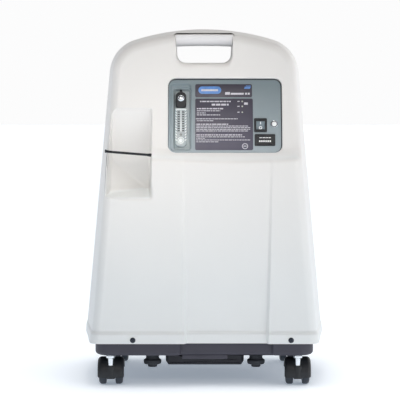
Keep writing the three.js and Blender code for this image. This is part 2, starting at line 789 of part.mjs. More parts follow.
piece('control_panel', controlPanel(), MATERIALS.panel, consoleFrame);
piece('label_header', label(HEADER, []), MATERIALS.label, consoleFrame);
piece('label_instructions', label(
  NOTICE,
  INDICATOR.v.map((v) => cylinderZ(INDICATOR.radius + GAP, -20, 10, 12).translate(INDICATOR.u, v, 0)),
), MATERIALS.label, consoleFrame);
piece('indicator_light_pipe', indicatorLightPipe(), MATERIALS.indicator, consoleFrame);
piece('flowmeter_block', flowmeterBlock(), MATERIALS.clear, consoleFrame);
piece('flow_valve_body', flowValveBody(), MATERIALS.black, consoleFrame);
piece('flow_knob', flowKnob(), MATERIALS.chrome, consoleFrame);
piece('float_ball', floatBall(), MATERIALS.black, consoleFrame);
piece('oxygen_outlet_barb', outletBarb(), MATERIALS.black, consoleFrame);
piece('switch_bezel', switchBezel(), MATERIALS.black, consoleFrame);
const rocker = piece('switch_rocker', switchRocker(), MATERIALS.grey, consoleFrame);
rocker.position.set(SWITCH.u, SWITCH.v, faceW - 0.6);
piece('breaker_collar', breakerCollar(), MATERIALS.chrome, consoleFrame);
piece('breaker_button', breakerButton(), MATERIALS.cabinet, consoleFrame);
piece('hour_meter', hourMeter(), MATERIALS.black, consoleFrame);

// ---------------------------------------------------------------- bottle strap

// Follows the rounded left rim of the pocket, then runs straight across its mouth.
function strapPath(gap) {
  const depth = consoleDepth(STRAP.z);
  const radius = CABINET.edgeRadius;
  const draft = (depth - radius) * CABINET.sideDraft;
  const centreX = seamHalfWidth(STRAP.z) - draft - radius;
  const bend = arc(-centreX, -(depth - radius), radius + gap, Math.PI + 8 * DEG, Math.PI * 1.5, 5);
  return [...bend, [STRAP.rightX, -(depth + gap)]];
}

function bottleStrap() {
  const { clearance, thickness, height, tilt, pivotX, z } = STRAP;
  const inner = strapPath(clearance);
  const outer = strapPath(clearance + thickness).reverse();
  const band = plate(outline([...inner, ...outer]), -height / 2, height / 2);
  return band.translate(-pivotX, 0, 0).rotateY(tilt).translate(pivotX, 0, z);
}

piece('bottle_strap', bottleStrap(), MATERIALS.webbing);

// ---------------------------------------------------------------- base, duct and isolators

function baseTray() {
  const { bottomZ, halfWidth, halfDepth, cornerRadius, floor, wall } = BASE;
  const levels = [[bottomZ, 7], [bottomZ + 2, 3], [bottomZ + 6, 0], [CABINET.footZ - GAP, 0]];
  const ring = (inset) => {
    const r = cornerRadius - inset;
    const x = halfWidth - cornerRadius;
    const y = halfDepth - cornerRadius;
    return [[x, y, 0], [-x, y, 1], [-x, -y, 2], [x, -y, 3]].flatMap(([cx, cy, quarter]) => (
      arc(cx, cy, r, (quarter * Math.PI) / 2, ((quarter + 1) * Math.PI) / 2, 5)
    ));
  };
  const outer = hull(levels.flatMap(([z, inset]) => ring(inset).map(([x, y]) => [x, y, z])));
  const inside = block(
    -halfWidth + wall, halfWidth - wall, -halfDepth + wall + BASE.stepDepth, halfDepth - wall,
    bottomZ + floor, CABINET.footZ + 5, cornerRadius - wall,
  );
  const step = box(BASE.stepLeftX, BASE.stepRightX, -halfDepth - 5, -halfDepth + BASE.stepDepth, 40, 100);
  const lipFront = -halfDepth + BASE.stepDepth;
  const lip = box(BASE.lipLeftX, BASE.lipRightX, lipFront + 3, lipFront + 30, BASE.lipZ, bottomZ + 2);
  return union(cut(outer, inside, step), lip);
}

function exhaustDuct() {
  const { leftX, rightX, bottomInset, frontY, rearY, bottomZ } = DUCT;
  const topZ = BASE.bottomZ - GAP;
  const body = hull([
    ...[leftX, rightX].flatMap((x) => [[x, frontY, topZ], [x, rearY, topZ]]),
    ...[leftX, rightX].flatMap((x) => [[x, frontY, bottomZ + 8], [x, rearY, bottomZ + 8]]),
    ...[leftX + bottomInset, rightX - bottomInset].flatMap((x) => [
      [x, frontY + bottomInset, bottomZ], [x, rearY - bottomInset, bottomZ],
    ]),
  ]);
  const inside = box(leftX + 8, rightX - 8, frontY + 10, rearY + 10, bottomZ + 3, topZ - 3);
  return cut(body, inside);
}

function isolator() {
  const { flangeRadius, bossRadius, bottomZ } = ISOLATOR;
  const topZ = BASE.bottomZ - GAP;
  return turned([
    [0, bottomZ], [bossRadius - 1.5, bottomZ], [bossRadius, bottomZ + 1.5], [bossRadius, bottomZ + 5.5],
    [flangeRadius - 1.5, bottomZ + 5.5], [flangeRadius, bottomZ + 13], [flangeRadius - 4, bottomZ + 16],
    [flangeRadius - 4, topZ], [0, topZ],
  ], 16);
}

piece('base_tray', baseTray(), MATERIALS.base);
piece('exhaust_duct', exhaustDuct(), MATERIALS.duct);

const CORNERS = [
  { tag: 'front_left', sideX: -1, front: true },
  { tag: 'front_right', sideX: 1, front: true },
  { tag: 'rear_left', sideX: -1, front: false },
  { tag: 'rear_right', sideX: 1, front: false },
];

for (const { tag, sideX, front } of CORNERS) {
  const y = front ? ISOLATOR.frontY : ISOLATOR.rearY;
  piece(`isolator_${tag}`, isolator(), MATERIALS.rubber).position.set(sideX * ISOLATOR.x, y, 0);
}

// ---------------------------------------------------------------- casters

function casterStem() {
  const { stemRadius, stemFootZ, collarRadius, collarBottomZ } = CASTER;
  const topZ = BASE.bottomZ - GAP;
  return turned([
    [0, stemFootZ], [stemRadius, stemFootZ], [stemRadius, collarBottomZ], [collarRadius, collarBottomZ],
    [collarRadius, topZ], [0, topZ],
  ], 20);
}

// Swivelling hood: a web between the wheels, a boss for the stem and a skin over both wheels.
function casterHood() {
  const { trail, wheelRadius, wheelOuter, hoodRadius, hoodSkin, webHalfWidth, axleRadius } = CASTER;
  const { bossBottomZ, bossTopZ } = CASTER;
  const axle = [trail, wheelRadius];
  const front = Math.PI - CASTER.hoodFrontAngle;
  const rear = Math.PI - CASTER.hoodRearAngle;
  const skinOuter = arc(...axle, hoodRadius, front, rear, 12);
  const skinInner = arc(...axle, hoodRadius - hoodSkin, rear, front, 12);
  const skin = across(outline([...skinOuter, ...skinInner]), wheelOuter);
  const webTop = arc(...axle, hoodRadius - 1, Math.PI * 0.9, 0, 9);
  const web = across(outline([...webTop, [trail + 12, 12], [-6, bossBottomZ]]), webHalfWidth);
  const boss = cylinderZ(webHalfWidth, bossBottomZ, bossTopZ, 20);
  const half = webHalfWidth + 0.4;
  const notch = box(-half, half, -12, half, bossTopZ, BASE.bottomZ);
  const stemBore = cylinderZ(CASTER.stemRadius + GAP, CASTER.stemFootZ - GAP, BASE.bottomZ, 20);
  const axleBore = cylinderX(axleRadius + GAP, -wheelOuter, wheelOuter, 16).translate(0, ...axle);
  return cut(union(skin, web, boss), notch, stemBore, axleBore);
}

function casterWheels() {
  const { wheelRadius, wheelInner, wheelOuter, axleRadius } = CASTER;
  const wheel = (side) => {
    const inner = side * wheelInner;
    const outer = side * wheelOuter;
    const shoulder = side * (wheelOuter - 3.5);
    return turned([
      [0, inner], [wheelRadius - 1, inner], [wheelRadius, inner + side], [wheelRadius, shoulder],
      [wheelRadius - 4, outer], [0, outer],
    ], 24).rotateY(Math.PI / 2);
  };
  return union(wheel(-1), wheel(1), cylinderX(axleRadius, -wheelInner - 1, wheelInner + 1, 12));
}

for (const { tag, sideX, front } of CORNERS) {
  const caster = new THREE.Group();
  caster.position.set(sideX * CASTER.x, front ? CASTER.frontY : CASTER.rearY, 0);
  object.add(caster);
  piece(`caster_stem_${tag}`, casterStem(), MATERIALS.chrome, caster);
  piece(`caster_hood_${tag}`, casterHood(), MATERIALS.black, caster);
  const wheels = piece(`caster_wheels_${tag}`, casterWheels(), MATERIALS.rubber, caster);
  wheels.position.set(0, CASTER.trail, CASTER.wheelRadius);
}

// ---------------------------------------------------------------- screws, gland and filter

function screw() {
  const { headRadius, headHeight, shankRadius, shankLength } = SCREW;
  return turned([
    [0, -shankLength], [shankRadius, -shankLength], [shankRadius, GAP], [headRadius, GAP],
    [headRadius - 0.8, headHeight + GAP], [0, headHeight + GAP],
  ], 12);
}

function addScrew(name, x, facing) {
  const mesh = piece(name, screw(), MATERIALS.steel);
  mesh.rotation.x = (-facing * Math.PI) / 2;
  mesh.position.set(x, facing * FRONT.skirtDepth, SCREW.z);
}

addScrew('cabinet_screw_front_left', FRONT_SCREW_X.left, -1);
addScrew('cabinet_screw_front_right', FRONT_SCREW_X.right, -1);
addScrew('cabinet_screw_rear_left', REAR_SCREW_X.left, 1);
addScrew('cabinet_screw_rear_right', REAR_SCREW_X.right, 1);

function cordGland() {
  const { flangeRadius, noseRadius } = GLAND;
  return turned([
    [3.5, -16], [noseRadius, -16], [noseRadius, 1], [flangeRadius, 1.2], [flangeRadius, 3],
    [flangeRadius - 2, 4.4], [5, 6], [3.5, 6], [3.5, -16],
  ], 18);
}

const gland = piece('power_cord_gland', cordGland(), MATERIALS.black);
gland.rotation.x = -Math.PI / 2 + rearTilt;
gland.position.set(GLAND.x, rearDepth(GLAND.z), GLAND.z);

// The frame drops into the rear opening and pulls straight out with its foam.
function filterFrameShape() {
  const halfW = FILTER.width / 2 - 0.5;
  const halfH = FILTER.height / 2 - 0.5;
  const bar = FILTER.frameBar;
  const front = FILTER.proud;
  const rim = block(-halfW - 4, halfW + 4, -halfH - 4, halfH + 4, GAP, front, 12);
  const body = block(-halfW, halfW, -halfH, halfH, front - FILTER.thickness, front - 0.5, 9);
  const opening = block(-halfW + bar, halfW - bar, -halfH + bar, halfH - bar, -30, 30, 5);
  const ribs = [-22, 0, 22].map((y) => box(-halfW + 2, halfW - 2, y - 1.5, y + 1.5, -1.5, front - 0.6));
  const post = box(-1.5, 1.5, -halfH + 2, halfH - 2, -1.5, front - 0.6);
  return union(cut(union(rim, body), opening), ...ribs, post);
}

function filterFoam() {
  const halfW = FILTER.width / 2 - 4;
  const halfH = FILTER.height / 2 - 4;
  return block(-halfW, halfW, -halfH, halfH, -18, FILTER.proud - FILTER.thickness - GAP, 6);
}

piece('filter_frame', filterFrameShape(), MATERIALS.black, filterFrame);
piece('filter_foam', filterFoam(), MATERIALS.foam, filterFrame);

// ---------------------------------------------------------------- works inside

const innerFloor = BASE.bottomZ + BASE.floor + GAP;

function compressorMotor() {
  const { y, z, motorRadius, motorHalf, shaftRadius } = PUMP;
  const bore = shaftRadius + 1;
  const bevel = [[motorRadius - 14, 0], [motorRadius - 6, 8], [motorRadius, 12]];
  const leftEnd = bevel.map(([radius, x]) => [radius, x - motorHalf]);
  const rightEnd = bevel.map(([radius, x]) => [radius, motorHalf - x]).reverse();
  const profile = [[bore, -motorHalf], ...leftEnd, ...rightEnd, [bore, motorHalf], [bore, -motorHalf]];
  const drum = turned(profile, 20).rotateY(Math.PI / 2).translate(0, y, z);
  const pedestal = box(-44, 44, y - 48, y + 48, innerFloor, z - 30);
  const clear = cylinderX(bore + 1, -80, 80).translate(0, y, z);
  return cut(union(drum, pedestal), clear);
}

function pumpHead(side) {
  const { y, z, motorHalf, headRadius, headHalf, shaftRadius } = PUMP;
  const middle = side * (motorHalf + headHalf + 2);
  const slab = (halfX, halfY, low, high) => (
    box(middle - halfX, middle + halfX, y - halfY, y + halfY, low, high)
  );
  const drum = cylinderX(headRadius, -headHalf, headHalf).translate(middle, y, z);
  const foot = slab(20, 42, innerFloor, z - 20);
  const barrel = slab(22, 30, z, z + 52);
  const fins = [40, 49, 58].map((rise) => slab(26, 40, z + rise, z + rise + 4));
  const cap = slab(22, 30, z + 50, z + 72);
  const bore = cylinderX(shaftRadius + 1.5, -FAR, FAR).translate(0, y, z);
  return cut(union(drum, foot, barrel, cap, ...fins), bore);
}

// Crankshaft with a balance disc at each end.
function compressorShaft() {
  const { motorHalf, headHalf, shaftRadius } = PUMP;
  const end = motorHalf + headHalf * 2 + 14;
  const disc = (side) => cylinderX(30, side * end - 4, side * end + 4).translate(0, 6, 0);
  return union(cylinderX(shaftRadius, -end, end), disc(-1), disc(1));
}

piece('compressor_motor', compressorMotor(), MATERIALS.aluminium);
piece('compressor_head_left', pumpHead(-1), MATERIALS.aluminium);
piece('compressor_head_right', pumpHead(1), MATERIALS.aluminium);
piece('compressor_shaft', compressorShaft(), MATERIALS.steel).position.set(0, PUMP.y, PUMP.z);

function fanShroud() {
  const { half, depth, throat, hub } = FAN;
  const frame = block(-half, half, -half, half, 0, depth, 8);
  const open = cut(frame, cylinderZ(throat, -5, depth + 5, 24));
  const spokes = [45, 135].map((turn) => box(-half + 2, half - 2, -3, 3, 0, 3).rotateZ(turn * DEG));
  return union(open, ...spokes, cylinderZ(hub, 0, 3));
}

function fanRotor() {
  const { hub, bladeTip, blades, depth } = FAN;
  const low = 4;
  const high = depth - 5;
  const core = cylinderZ(hub, low, high);
  const vanes = Array.from({ length: blades }, (_, i) => {
    const vane = box(hub - 3, bladeTip - 5, -1.2, 1.2, -9, 9);
    return vane.rotateX(38 * DEG).translate(0, 0, (low + high) / 2).rotateZ((i * 2 * Math.PI) / blades);
  });
  return union(core, ...vanes);
}

piece('cooling_fan_shroud', fanShroud(), MATERIALS.black).position.set(0, FAN.y, FAN.z);
piece('cooling_fan_rotor', fanRotor(), MATERIALS.black).position.set(0, FAN.y, FAN.z);

function vessel(radius, low, high) {
  return turned([
    [0, low], [radius + 2, low], [radius + 2, low + 14], [radius, low + 16], [radius, high - 16],
    [radius + 2, high - 14], [radius + 2, high - 2], [radius - 6, high], [0, high],
  ], 18);
}

const bed = vessel(SIEVE_BED.radius, innerFloor, SIEVE_BED.topZ);
piece('sieve_bed_left', bed, MATERIALS.aluminium).position.set(-SIEVE_BED.x, SIEVE_BED.y, 0);
piece('sieve_bed_right', bed, MATERIALS.aluminium).position.set(SIEVE_BED.x, SIEVE_BED.y, 0);
const tank = vessel(PRODUCT_TANK.radius, innerFloor, PRODUCT_TANK.topZ);
piece('product_tank', tank, MATERIALS.aluminium).position.set(0, PRODUCT_TANK.y, 0);

function valveManifold() {
  const body = box(-75, 75, 75, 125, 350, 380);
  const coils = [-54, -18, 18, 54].map((x) => cylinderZ(11, 378, 408, 16).translate(x, 100, 0));
  return union(body, ...coils);
}

function coolerCoil() {
  const { radius, tubeRadius, pitch, turns } = COIL;
  const helix = new THREE.Curve();
  helix.getPoint = (t, target = new THREE.Vector3()) => {
    const angle = 2 * Math.PI * turns * t;
    return target.set(radius * Math.cos(angle), radius * Math.sin(angle), pitch * turns * t);
  };
  const hexagon = arc(0, 0, tubeRadius, 0, 2 * Math.PI * (5 / 6), 5);
  return new THREE.ExtrudeGeometry(outline(hexagon), { steps: 12 * turns, extrudePath: helix });
}

function circuitBoard() {
  const { leftX, rightX, y, bottomZ, topZ } = BOARD;
  const card = box(leftX, rightX, y, y + 2, bottomZ, topZ);
  const parts = [
    box(-50, -20, y - 14, y + 0.5, 450, 500),
    box(0, 24, y - 10, y + 0.5, 470, 520),
    box(50, 95, y - 8, y + 0.5, 450, 480),
    box(40, 60, y - 12, y + 0.5, 520, 550),
  ];
  return union(card, ...parts);
}

function intakeSilencer() {
  const { x, y, radius, shoulderZ, neckRadius, topZ } = SILENCER;
  return turned([
    [0, innerFloor], [radius - 2, innerFloor], [radius, innerFloor + 4], [radius, shoulderZ],
    [radius - 6, shoulderZ + 8], [neckRadius, shoulderZ + 8], [neckRadius, topZ], [0, topZ],
  ], 18).translate(x, y, 0);
}

piece('valve_manifold', valveManifold(), MATERIALS.aluminium);
piece('heat_exchanger_coil', coolerCoil(), MATERIALS.copper).position.set(COIL.x, COIL.y, COIL.z);
piece('circuit_board', circuitBoard(), MATERIALS.board);
piece('intake_silencer', intakeSilencer(), MATERIALS.black);

export default object;
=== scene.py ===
import math

import bpy
import numpy as np
from mathutils import Matrix, Vector, geometry


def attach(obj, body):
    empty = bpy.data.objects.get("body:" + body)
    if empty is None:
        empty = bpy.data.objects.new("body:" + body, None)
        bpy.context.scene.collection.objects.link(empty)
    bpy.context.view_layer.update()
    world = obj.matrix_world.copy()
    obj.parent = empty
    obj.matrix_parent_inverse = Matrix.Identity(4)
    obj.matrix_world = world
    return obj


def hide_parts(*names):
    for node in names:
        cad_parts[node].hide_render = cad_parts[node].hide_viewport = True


# Home oxygen concentrator. Shapes are worked out in millimetres, with x to the right, -y to the
# front and z up, and are turned into metres when a mesh is made.

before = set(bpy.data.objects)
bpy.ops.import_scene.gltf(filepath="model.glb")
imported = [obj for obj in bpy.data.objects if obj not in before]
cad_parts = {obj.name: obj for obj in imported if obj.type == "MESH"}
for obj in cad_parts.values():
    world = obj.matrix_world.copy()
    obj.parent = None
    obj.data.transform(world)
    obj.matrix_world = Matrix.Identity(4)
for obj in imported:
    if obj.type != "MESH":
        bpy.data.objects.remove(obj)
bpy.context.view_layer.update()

MM = 0.001


# ------------------------------------------------------------------ driving dimensions

FOOT_Z = 83.0
SKIRT_TOP_Z = 102.0
SKIRT_PROUD = 3.0
FOOT_HALF_WIDTH = 229.5
SIDE_TAPER = 0.0925
TOP_Z = 670.0
ARCH_RADIUS = 450.0
SHOULDER_RADIUS = 70.0
SIDE_DRAFT = math.radians(6)
EDGE_RADIUS = 15.0
SEAM_HALF_GAP = 0.35
WALL = 3.0

FRONT_FOOT_DEPTH = 178.0
LEDGE_Z = 421.0
LEDGE_DEPTH = 158.0
LEDGE_RADIUS = 7.0
CONSOLE_Z = 432.0
CONSOLE_DEPTH = 146.0
CONSOLE_LEAN = math.radians(17)

REAR_FOOT_DEPTH = 178.0
KNEE_Z = 430.0
KNEE_DEPTH = 160.0
REAR_TOP_SLOPE = 0.28
REAR_TILT = math.atan((REAR_FOOT_DEPTH - KNEE_DEPTH) / (KNEE_Z - SKIRT_TOP_Z))

# Channel down the lower front: its edges and depth at the top and at the foot.
RECESS = {"left": (-42.6, -38.0), "right": (128.7, 120.7), "sunk": (1.2, 9.0), "top": 414.0, "run": 6.0}

HAND_TOP_Z, GRIP_BOTTOM_Z, HAND_BOTTOM_Z = 659.0, 637.0, 605.0
HAND_HALF_TOP, HAND_HALF_BOTTOM = 55.0, 52.0

PANEL = {"u": (-68.0, 146.0), "v": (6.8, 151.6), "radius": 15.0, "sunk": 3.5}
WELL = {"u": (-57.5, -25.5), "v": (15.0, 133.0), "radius": 5.0, "depth": 15.0}

ALONG = np.linspace(0, math.pi / 2, 7)        # steps round a small moulded edge
CREASE = math.radians(32)                     # sharper turns than this show as edges


# ------------------------------------------------------------------ placing

def frame_of(across, up, outwards, origin=(0, 0, 0)):
    """A matrix from its three axes and its origin."""
    columns = [Vector(across), Vector(up), Vector(outwards), Vector(origin)]
    return Matrix([[column[row] for column in columns] for row in range(3)] + [[0, 0, 0, 1]])


def leaning(facing, lean, origin):
    """From across, up and outwards on a face that leans back to the frame, in millimetres.
    facing is -1 for the front and 1 for the rear."""
    sine, cosine = math.sin(lean), math.cos(lean)
    return frame_of((-facing, 0, 0), (0, -facing * sine, cosine), (0, facing * cosine, sine), origin)


def rear_planes(z):
    """Depths of the steep lower part and the sloping upper part of the rear face."""
    lower = REAR_FOOT_DEPTH - math.tan(REAR_TILT) * (z - SKIRT_TOP_Z)
    return lower, KNEE_DEPTH - REAR_TOP_SLOPE * (z - KNEE_Z)


def rear_depth(z):
    return np.minimum(*rear_planes(z))


def rear_matrix(z):
    return leaning(1, REAR_TILT, (0, float(rear_depth(z)), z))


# On the console, u runs across, v up the slope and w outwards.
CONSOLE = leaning(-1, CONSOLE_LEAN, (0, -CONSOLE_DEPTH, CONSOLE_Z))


def moved(points, matrix):
    table = np.array(matrix)
    return np.asarray(points, float) @ table[:3, :3].T + table[:3, 3]


def turned(directions, matrix):
    return np.asarray(directions, float) @ np.array(matrix)[:3, :3].T


def unit(vectors):
    return vectors / np.maximum(np.linalg.norm(vectors, axis=-1, keepdims=True), 1e-12)


def on_console(u, v, w=0.0):
    """A matrix that stands square on the console at a place."""
    return CONSOLE @ Matrix.Translation((u, v, w))


# ------------------------------------------------------------------ outlines

def rounded_loop(corners, radii, step):
    """Points and outward directions round a closed outline with rounded corners, anticlockwise."""
    corners = [np.array(c, float) for c in corners]
    points, outward = [], []
    for i, corner in enumerate(corners):
        before = unit(corner - corners[i - 1])
        after = unit(corners[(i + 1) % len(corners)] - corner)
        first = np.array([before[1], -before[0]])
        last = np.array([after[1], -after[0]])
        turn = math.acos(float(np.clip(first @ last, -1, 1)))
        reach = radii[i] * math.tan(turn / 2)
        centre = corner - before * reach - first * radii[i]
        count = max(2, math.ceil(radii[i] * turn / step) + 1, math.ceil(turn / math.radians(12)) + 1)
        start = math.atan2(first[1], first[0])
        for angle in np.linspace(start, start + turn, count):
            direction = np.array([math.cos(angle), math.sin(angle)])
            points.append(centre + direction * radii[i])
            outward.append(direction)
    full_points, full_outward = [], []
    for i, point in enumerate(points):
        gap = points[(i + 1) % len(points)] - point
        parts = max(1, math.ceil(np.linalg.norm(gap) / step - 1e-6))
        full_points += [point + gap * k / parts for k in range(parts)]
        full_outward += [outward[i]] * parts
    return np.array(full_points), np.array(full_outward)


def rectangle_loop(u, v, radius, step=3.0):
    corners = [(u[1], v[0]), (u[1], v[1]), (u[0], v[1]), (u[0], v[0])]
    return rounded_loop(corners, [radius] * 4, step)


def circle_loop(radius, count=96, centre=(0, 0)):
    angles = np.linspace(0, 2 * math.pi, count, endpoint=False)
    outward = np.column_stack([np.cos(angles), np.sin(angles)])
    return outward * radius + centre, outward


def drawn_loop(points, step=2.0):
    """A closed outline through the points, anticlockwise, with its outward directions."""
    points = np.asarray(points, float)
    places = []
    for a, b in zip(points, np.roll(points, -1, axis=0)):
        parts = max(1, math.ceil(np.linalg.norm(b - a) / step))
        places += [a + (b - a) * k / parts for k in range(parts)]
    places = np.array(places)
    along = unit(unit(np.roll(places, -1, axis=0) - places) + unit(places - np.roll(places, 1, axis=0)))
    return places, np.column_stack([along[:, 1], -along[:, 0]])


def arc(centre, radius, start, stop, count):
    angles = np.linspace(start, stop, count)
    return np.column_stack([centre[0] + radius * np.cos(angles), centre[1] + radius * np.sin(angles)])


# ------------------------------------------------------------------ meshes

def smooth_mesh(name, points, faces):
    """A smooth-shaded mesh from millimetre points."""
    mesh = bpy.data.meshes.new(name)
    mesh.from_pydata((np.asarray(points, float) * MM).tolist(), [], [list(map(int, f)) for f in faces])
    mesh.polygons.foreach_set("use_smooth", np.ones(len(mesh.polygons), bool))
    return mesh


def new_object(name, mesh):
    piece = bpy.data.objects.new(name, mesh)
    bpy.context.scene.collection.objects.link(piece)
    return piece


def surface(name, points, faces):
    """An object from millimetre points, creased where it turns sharply."""
    mesh = smooth_mesh(name, points, faces)
    mesh.set_sharp_from_angle(angle=CREASE)
    return new_object(name, mesh)


def shell(name, points, normals, faces, wall, seam_side):
    """Gives an open skin a wall, and shades its outside with its exact normals."""
    inner = points - normals * wall
    beyond = seam_side * inner[:, 1] < SEAM_HALF_GAP
    inner[beyond, 1] = seam_side * SEAM_HALF_GAP
    count = len(points)
    outside = [list(map(int, f)) for f in faces]
    inside = [[i + count for i in reversed(f)] for f in outside]
    sides = {side: True for face in outside for side in zip(face, face[1:] + face[:1])}
    rim = [[b, a, a + count, b + count] for a, b in sides if (b, a) not in sides]
    everything = np.vstack([points, inner])
    mesh = smooth_mesh(name, everything, outside + inside + rim)
    corner_normals = [normals[i] for f in outside for i in f]
    corner_normals += [-normals[i - count] for f in inside for i in f]
    for quad in rim:
        a, b, c = everything[quad[:3]]
        flat = np.cross(b - a, c - b)
        size = np.linalg.norm(flat)
        corner_normals += [flat / size if size > 1e-9 else normals[quad[0]]] * 4
    mesh.normals_split_custom_set(np.array(corner_normals, float).tolist())
    return new_object(name, mesh)


def skin(count, rings, caps=(True, True), flipped=False):
    """Faces between rings of count points each, with the first and the last ring closed as caps says."""
    faces = []
    for start in range(0, (rings - 1) * count, count):
        for i in range(count):
            j = (i + 1) % count
            faces.append([start + i, start + j, start + count + j, start + count + i])
    if caps[0]:
        faces.append(list(range(count))[::-1])
    if caps[1]:
        faces.append([(rings - 1) * count + i for i in range(count)])
    return [face[::-1] for face in faces] if flipped else faces


def stack(name, loop, rows, matrix, caps=(True, True)):
    """Rings of one outline, each inset and raised as its row says, skinned and capped."""
    points, outward = loop
    rings = [np.column_stack([points - outward * inset, np.full(len(points), high)]) for inset, high in rows]
    return surface(name, moved(np.vstack(rings), matrix), skin(len(points), len(rows), caps))


def edge_rows(low, high, low_radius, high_radius):
    """Rows of a slab whose lower and upper edges are rounded."""
    angles = np.linspace(0, math.pi / 2, 5)
    rows = [(low_radius * (1 - math.sin(a)), low + low_radius * (1 - math.cos(a))) for a in angles]
    rows += [(high_radius * (1 - math.cos(a)), high - high_radius * (1 - math.sin(a))) for a in angles]
    return rows


def slab(name, loop, low, high, radius, matrix, low_radius=0.05):
    return stack(name, loop, edge_rows(low, high, low_radius, radius), matrix)


def lathe(name, profile, matrix, segments=96):
    """A solid of revolution about the local z axis; profile pairs are (radius, height), going up."""
    angles = np.linspace(0, 2 * math.pi, segments, endpoint=False)
    points, rings, faces = [], [], []
    for radius, high in profile:
        tip = radius < 1e-6
        rings.append([len(points) + (0 if tip else i) for i in range(segments)])
        points += [(radius * math.cos(a), radius * math.sin(a), high) for a in angles[:1 if tip else None]]
    for low, high in zip(rings, rings[1:]):
        for i in range(segments):
            j = (i + 1) % segments
            face = list(dict.fromkeys([low[i], low[j], high[j], high[i]]))
            if len(face) > 2:
                faces.append(face)
    return surface(name, moved(points, matrix), faces)


def joined(name, pieces):
    """Joins pieces into one object and gives it a name."""
    bpy.ops.object.select_all(action="DESELECT")
    for piece in pieces:
        piece.select_set(True)
    bpy.context.view_layer.objects.active = pieces[0]
    bpy.ops.object.join()
    pieces[0].name = name
    pieces[0].data.name = name
    return pieces[0]


# ------------------------------------------------------------------ reliefs

def within(points, loop):
    """Which points lie inside a closed outline."""
    x, y = points.T
    found = np.zeros(len(points), bool)
    for (ax, ay), (bx, by) in zip(loop, np.roll(loop, -1, axis=0)):
        if ay == by:
            continue
        crosses = (ay > y) != (by > y)
        found ^= crosses & (x < (bx - ax) * (y - ay) / (by - ay) + ax)
    return found


def triangles_of(points, borders, loops):
    """Triangles between the outlines, which keep every border as a side."""
    made = geometry.delaunay_2d_cdt([Vector(p) for p in points.tolist()], borders, [], 0, 1e-7)
    kept = np.array([tuple(v) for v in made[0]])
    if len(kept) != len(points):
        raise ValueError("the outline crosses itself or holds a point twice")
    faces = np.array(made[2])
    middle = kept[faces].mean(axis=1)
    inside = within(middle, loops[0])
    for hole in loops[1:]:
        inside &= ~within(middle, hole)
    return faces[inside]


def relief(loops, height, normal, spacing, finest=1.0, sag=0.2, bend=math.radians(19), rounds=8):
    """Triangulates a height field between outlines, finer wherever the surface bends.
    The first outline is the outer one. Returns flat places, heights, normals and triangles."""
    borders, start = [], 0
    for loop in loops:
        count = len(loop)
        borders += [(start + i, start + (i + 1) % count) for i in range(count)]
        start += count
    edge = np.vstack(loops)
    low, high = edge.min(axis=0), edge.max(axis=0)
    across, up = np.meshgrid(np.arange(low[0], high[0], spacing), np.arange(low[1], high[1], spacing))
    across = across + (np.arange(across.shape[0]) % 2)[:, None] * spacing / 2
    grid = np.column_stack([across.ravel(), up.ravel()])
    keep = within(grid, loops[0])
    for hole in loops[1:]:
        keep &= ~within(grid, hole)
    grid = grid[keep]
    nearest = np.full(len(grid), np.inf)
    for point in edge:
        nearest = np.minimum(nearest, ((grid - point) ** 2).sum(axis=1))
    places = np.vstack([edge, grid[nearest > (spacing * 0.35) ** 2]])
    heights = height(places)
    normals = normal(places, heights)
    fixed = {tuple(sorted(b)) for b in borders}
    for _ in range(rounds):
        faces = triangles_of(places, borders, loops)
        sides = np.sort(np.vstack([faces[:, [0, 1]], faces[:, [1, 2]], faces[:, [2, 0]]]), axis=1)
        sides = np.unique(sides, axis=0)
        a, b = sides.T
        solid = np.column_stack([places, heights])
        span = solid[b] - solid[a]
        length = np.linalg.norm(span, axis=1)
        off = np.maximum(abs((span * normals[a]).sum(axis=1)), abs((span * normals[b]).sum(axis=1)))
        swing = np.arccos(np.clip((normals[a] * normals[b]).sum(axis=1), -1, 1))
        split = (length > finest) & ((off > sag) | (swing > bend))
        split &= np.linalg.norm(places[b] - places[a], axis=1) > 0.02
        split &= ~np.array([tuple(s) in fixed for s in sides.tolist()])
        if not split.any():
            break
        added = (places[a[split]] + places[b[split]]) / 2
        risen = height(added)
        places = np.vstack([places, added])
        heights = np.concatenate([heights, risen])
        normals = np.vstack([normals, normal(added, risen)])
    return places, heights, normals, triangles_of(places, borders, loops)


def round_max(radius, *fields):
    """Where several half-spaces overlap, with their shared edge rounded. Negative is inside."""
    total = fields[0]
    for field in fields[1:]:
        corner = np.hypot(np.maximum(total + radius, 0), np.maximum(field + radius, 0))
        total = np.minimum(np.maximum(total, field), -radius) + corner
    return total


def round_min(radius, *fields):
    """Fields joined together, with a fillet where they meet."""
    return -round_max(radius, *[-field for field in fields])


DEEPEST = 200.0                               # no face of the cabinet is further from the seam
HALVINGS = 26
NUDGE = 0.02                                  # step for measuring a slope


class Solid:
    """The front side of a field given as f(x, z, depth), read as a height field over x and z."""

    def __init__(self, field):
        self.field = field

    def height(self, places):
        """Halves the search for the surface until it is exact enough."""
        x, z = places.T
        low = np.zeros(len(places))
        high = np.full(len(places), DEEPEST)
        for _ in range(HALVINGS):
            middle = (low + high) / 2
            solid = self.field(x, z, middle) < 0
            low = np.where(solid, middle, low)
            high = np.where(solid, high, middle)
        return np.maximum((low + high) / 2, SEAM_HALF_GAP)

    def normal(self, places, heights):
        x, z = places.T
        slopes = [
            self.field(x + NUDGE, z, heights) - self.field(x - NUDGE, z, heights),
            self.field(x, z + NUDGE, heights) - self.field(x, z - NUDGE, heights),
            self.field(x, z, heights + NUDGE) - self.field(x, z, heights - NUDGE),
        ]
        return unit(np.column_stack(slopes))


# ------------------------------------------------------------------ cabinet form

TAPER_ANGLE = math.atan(SIDE_TAPER)
ARCH_Z = TOP_Z - ARCH_RADIUS


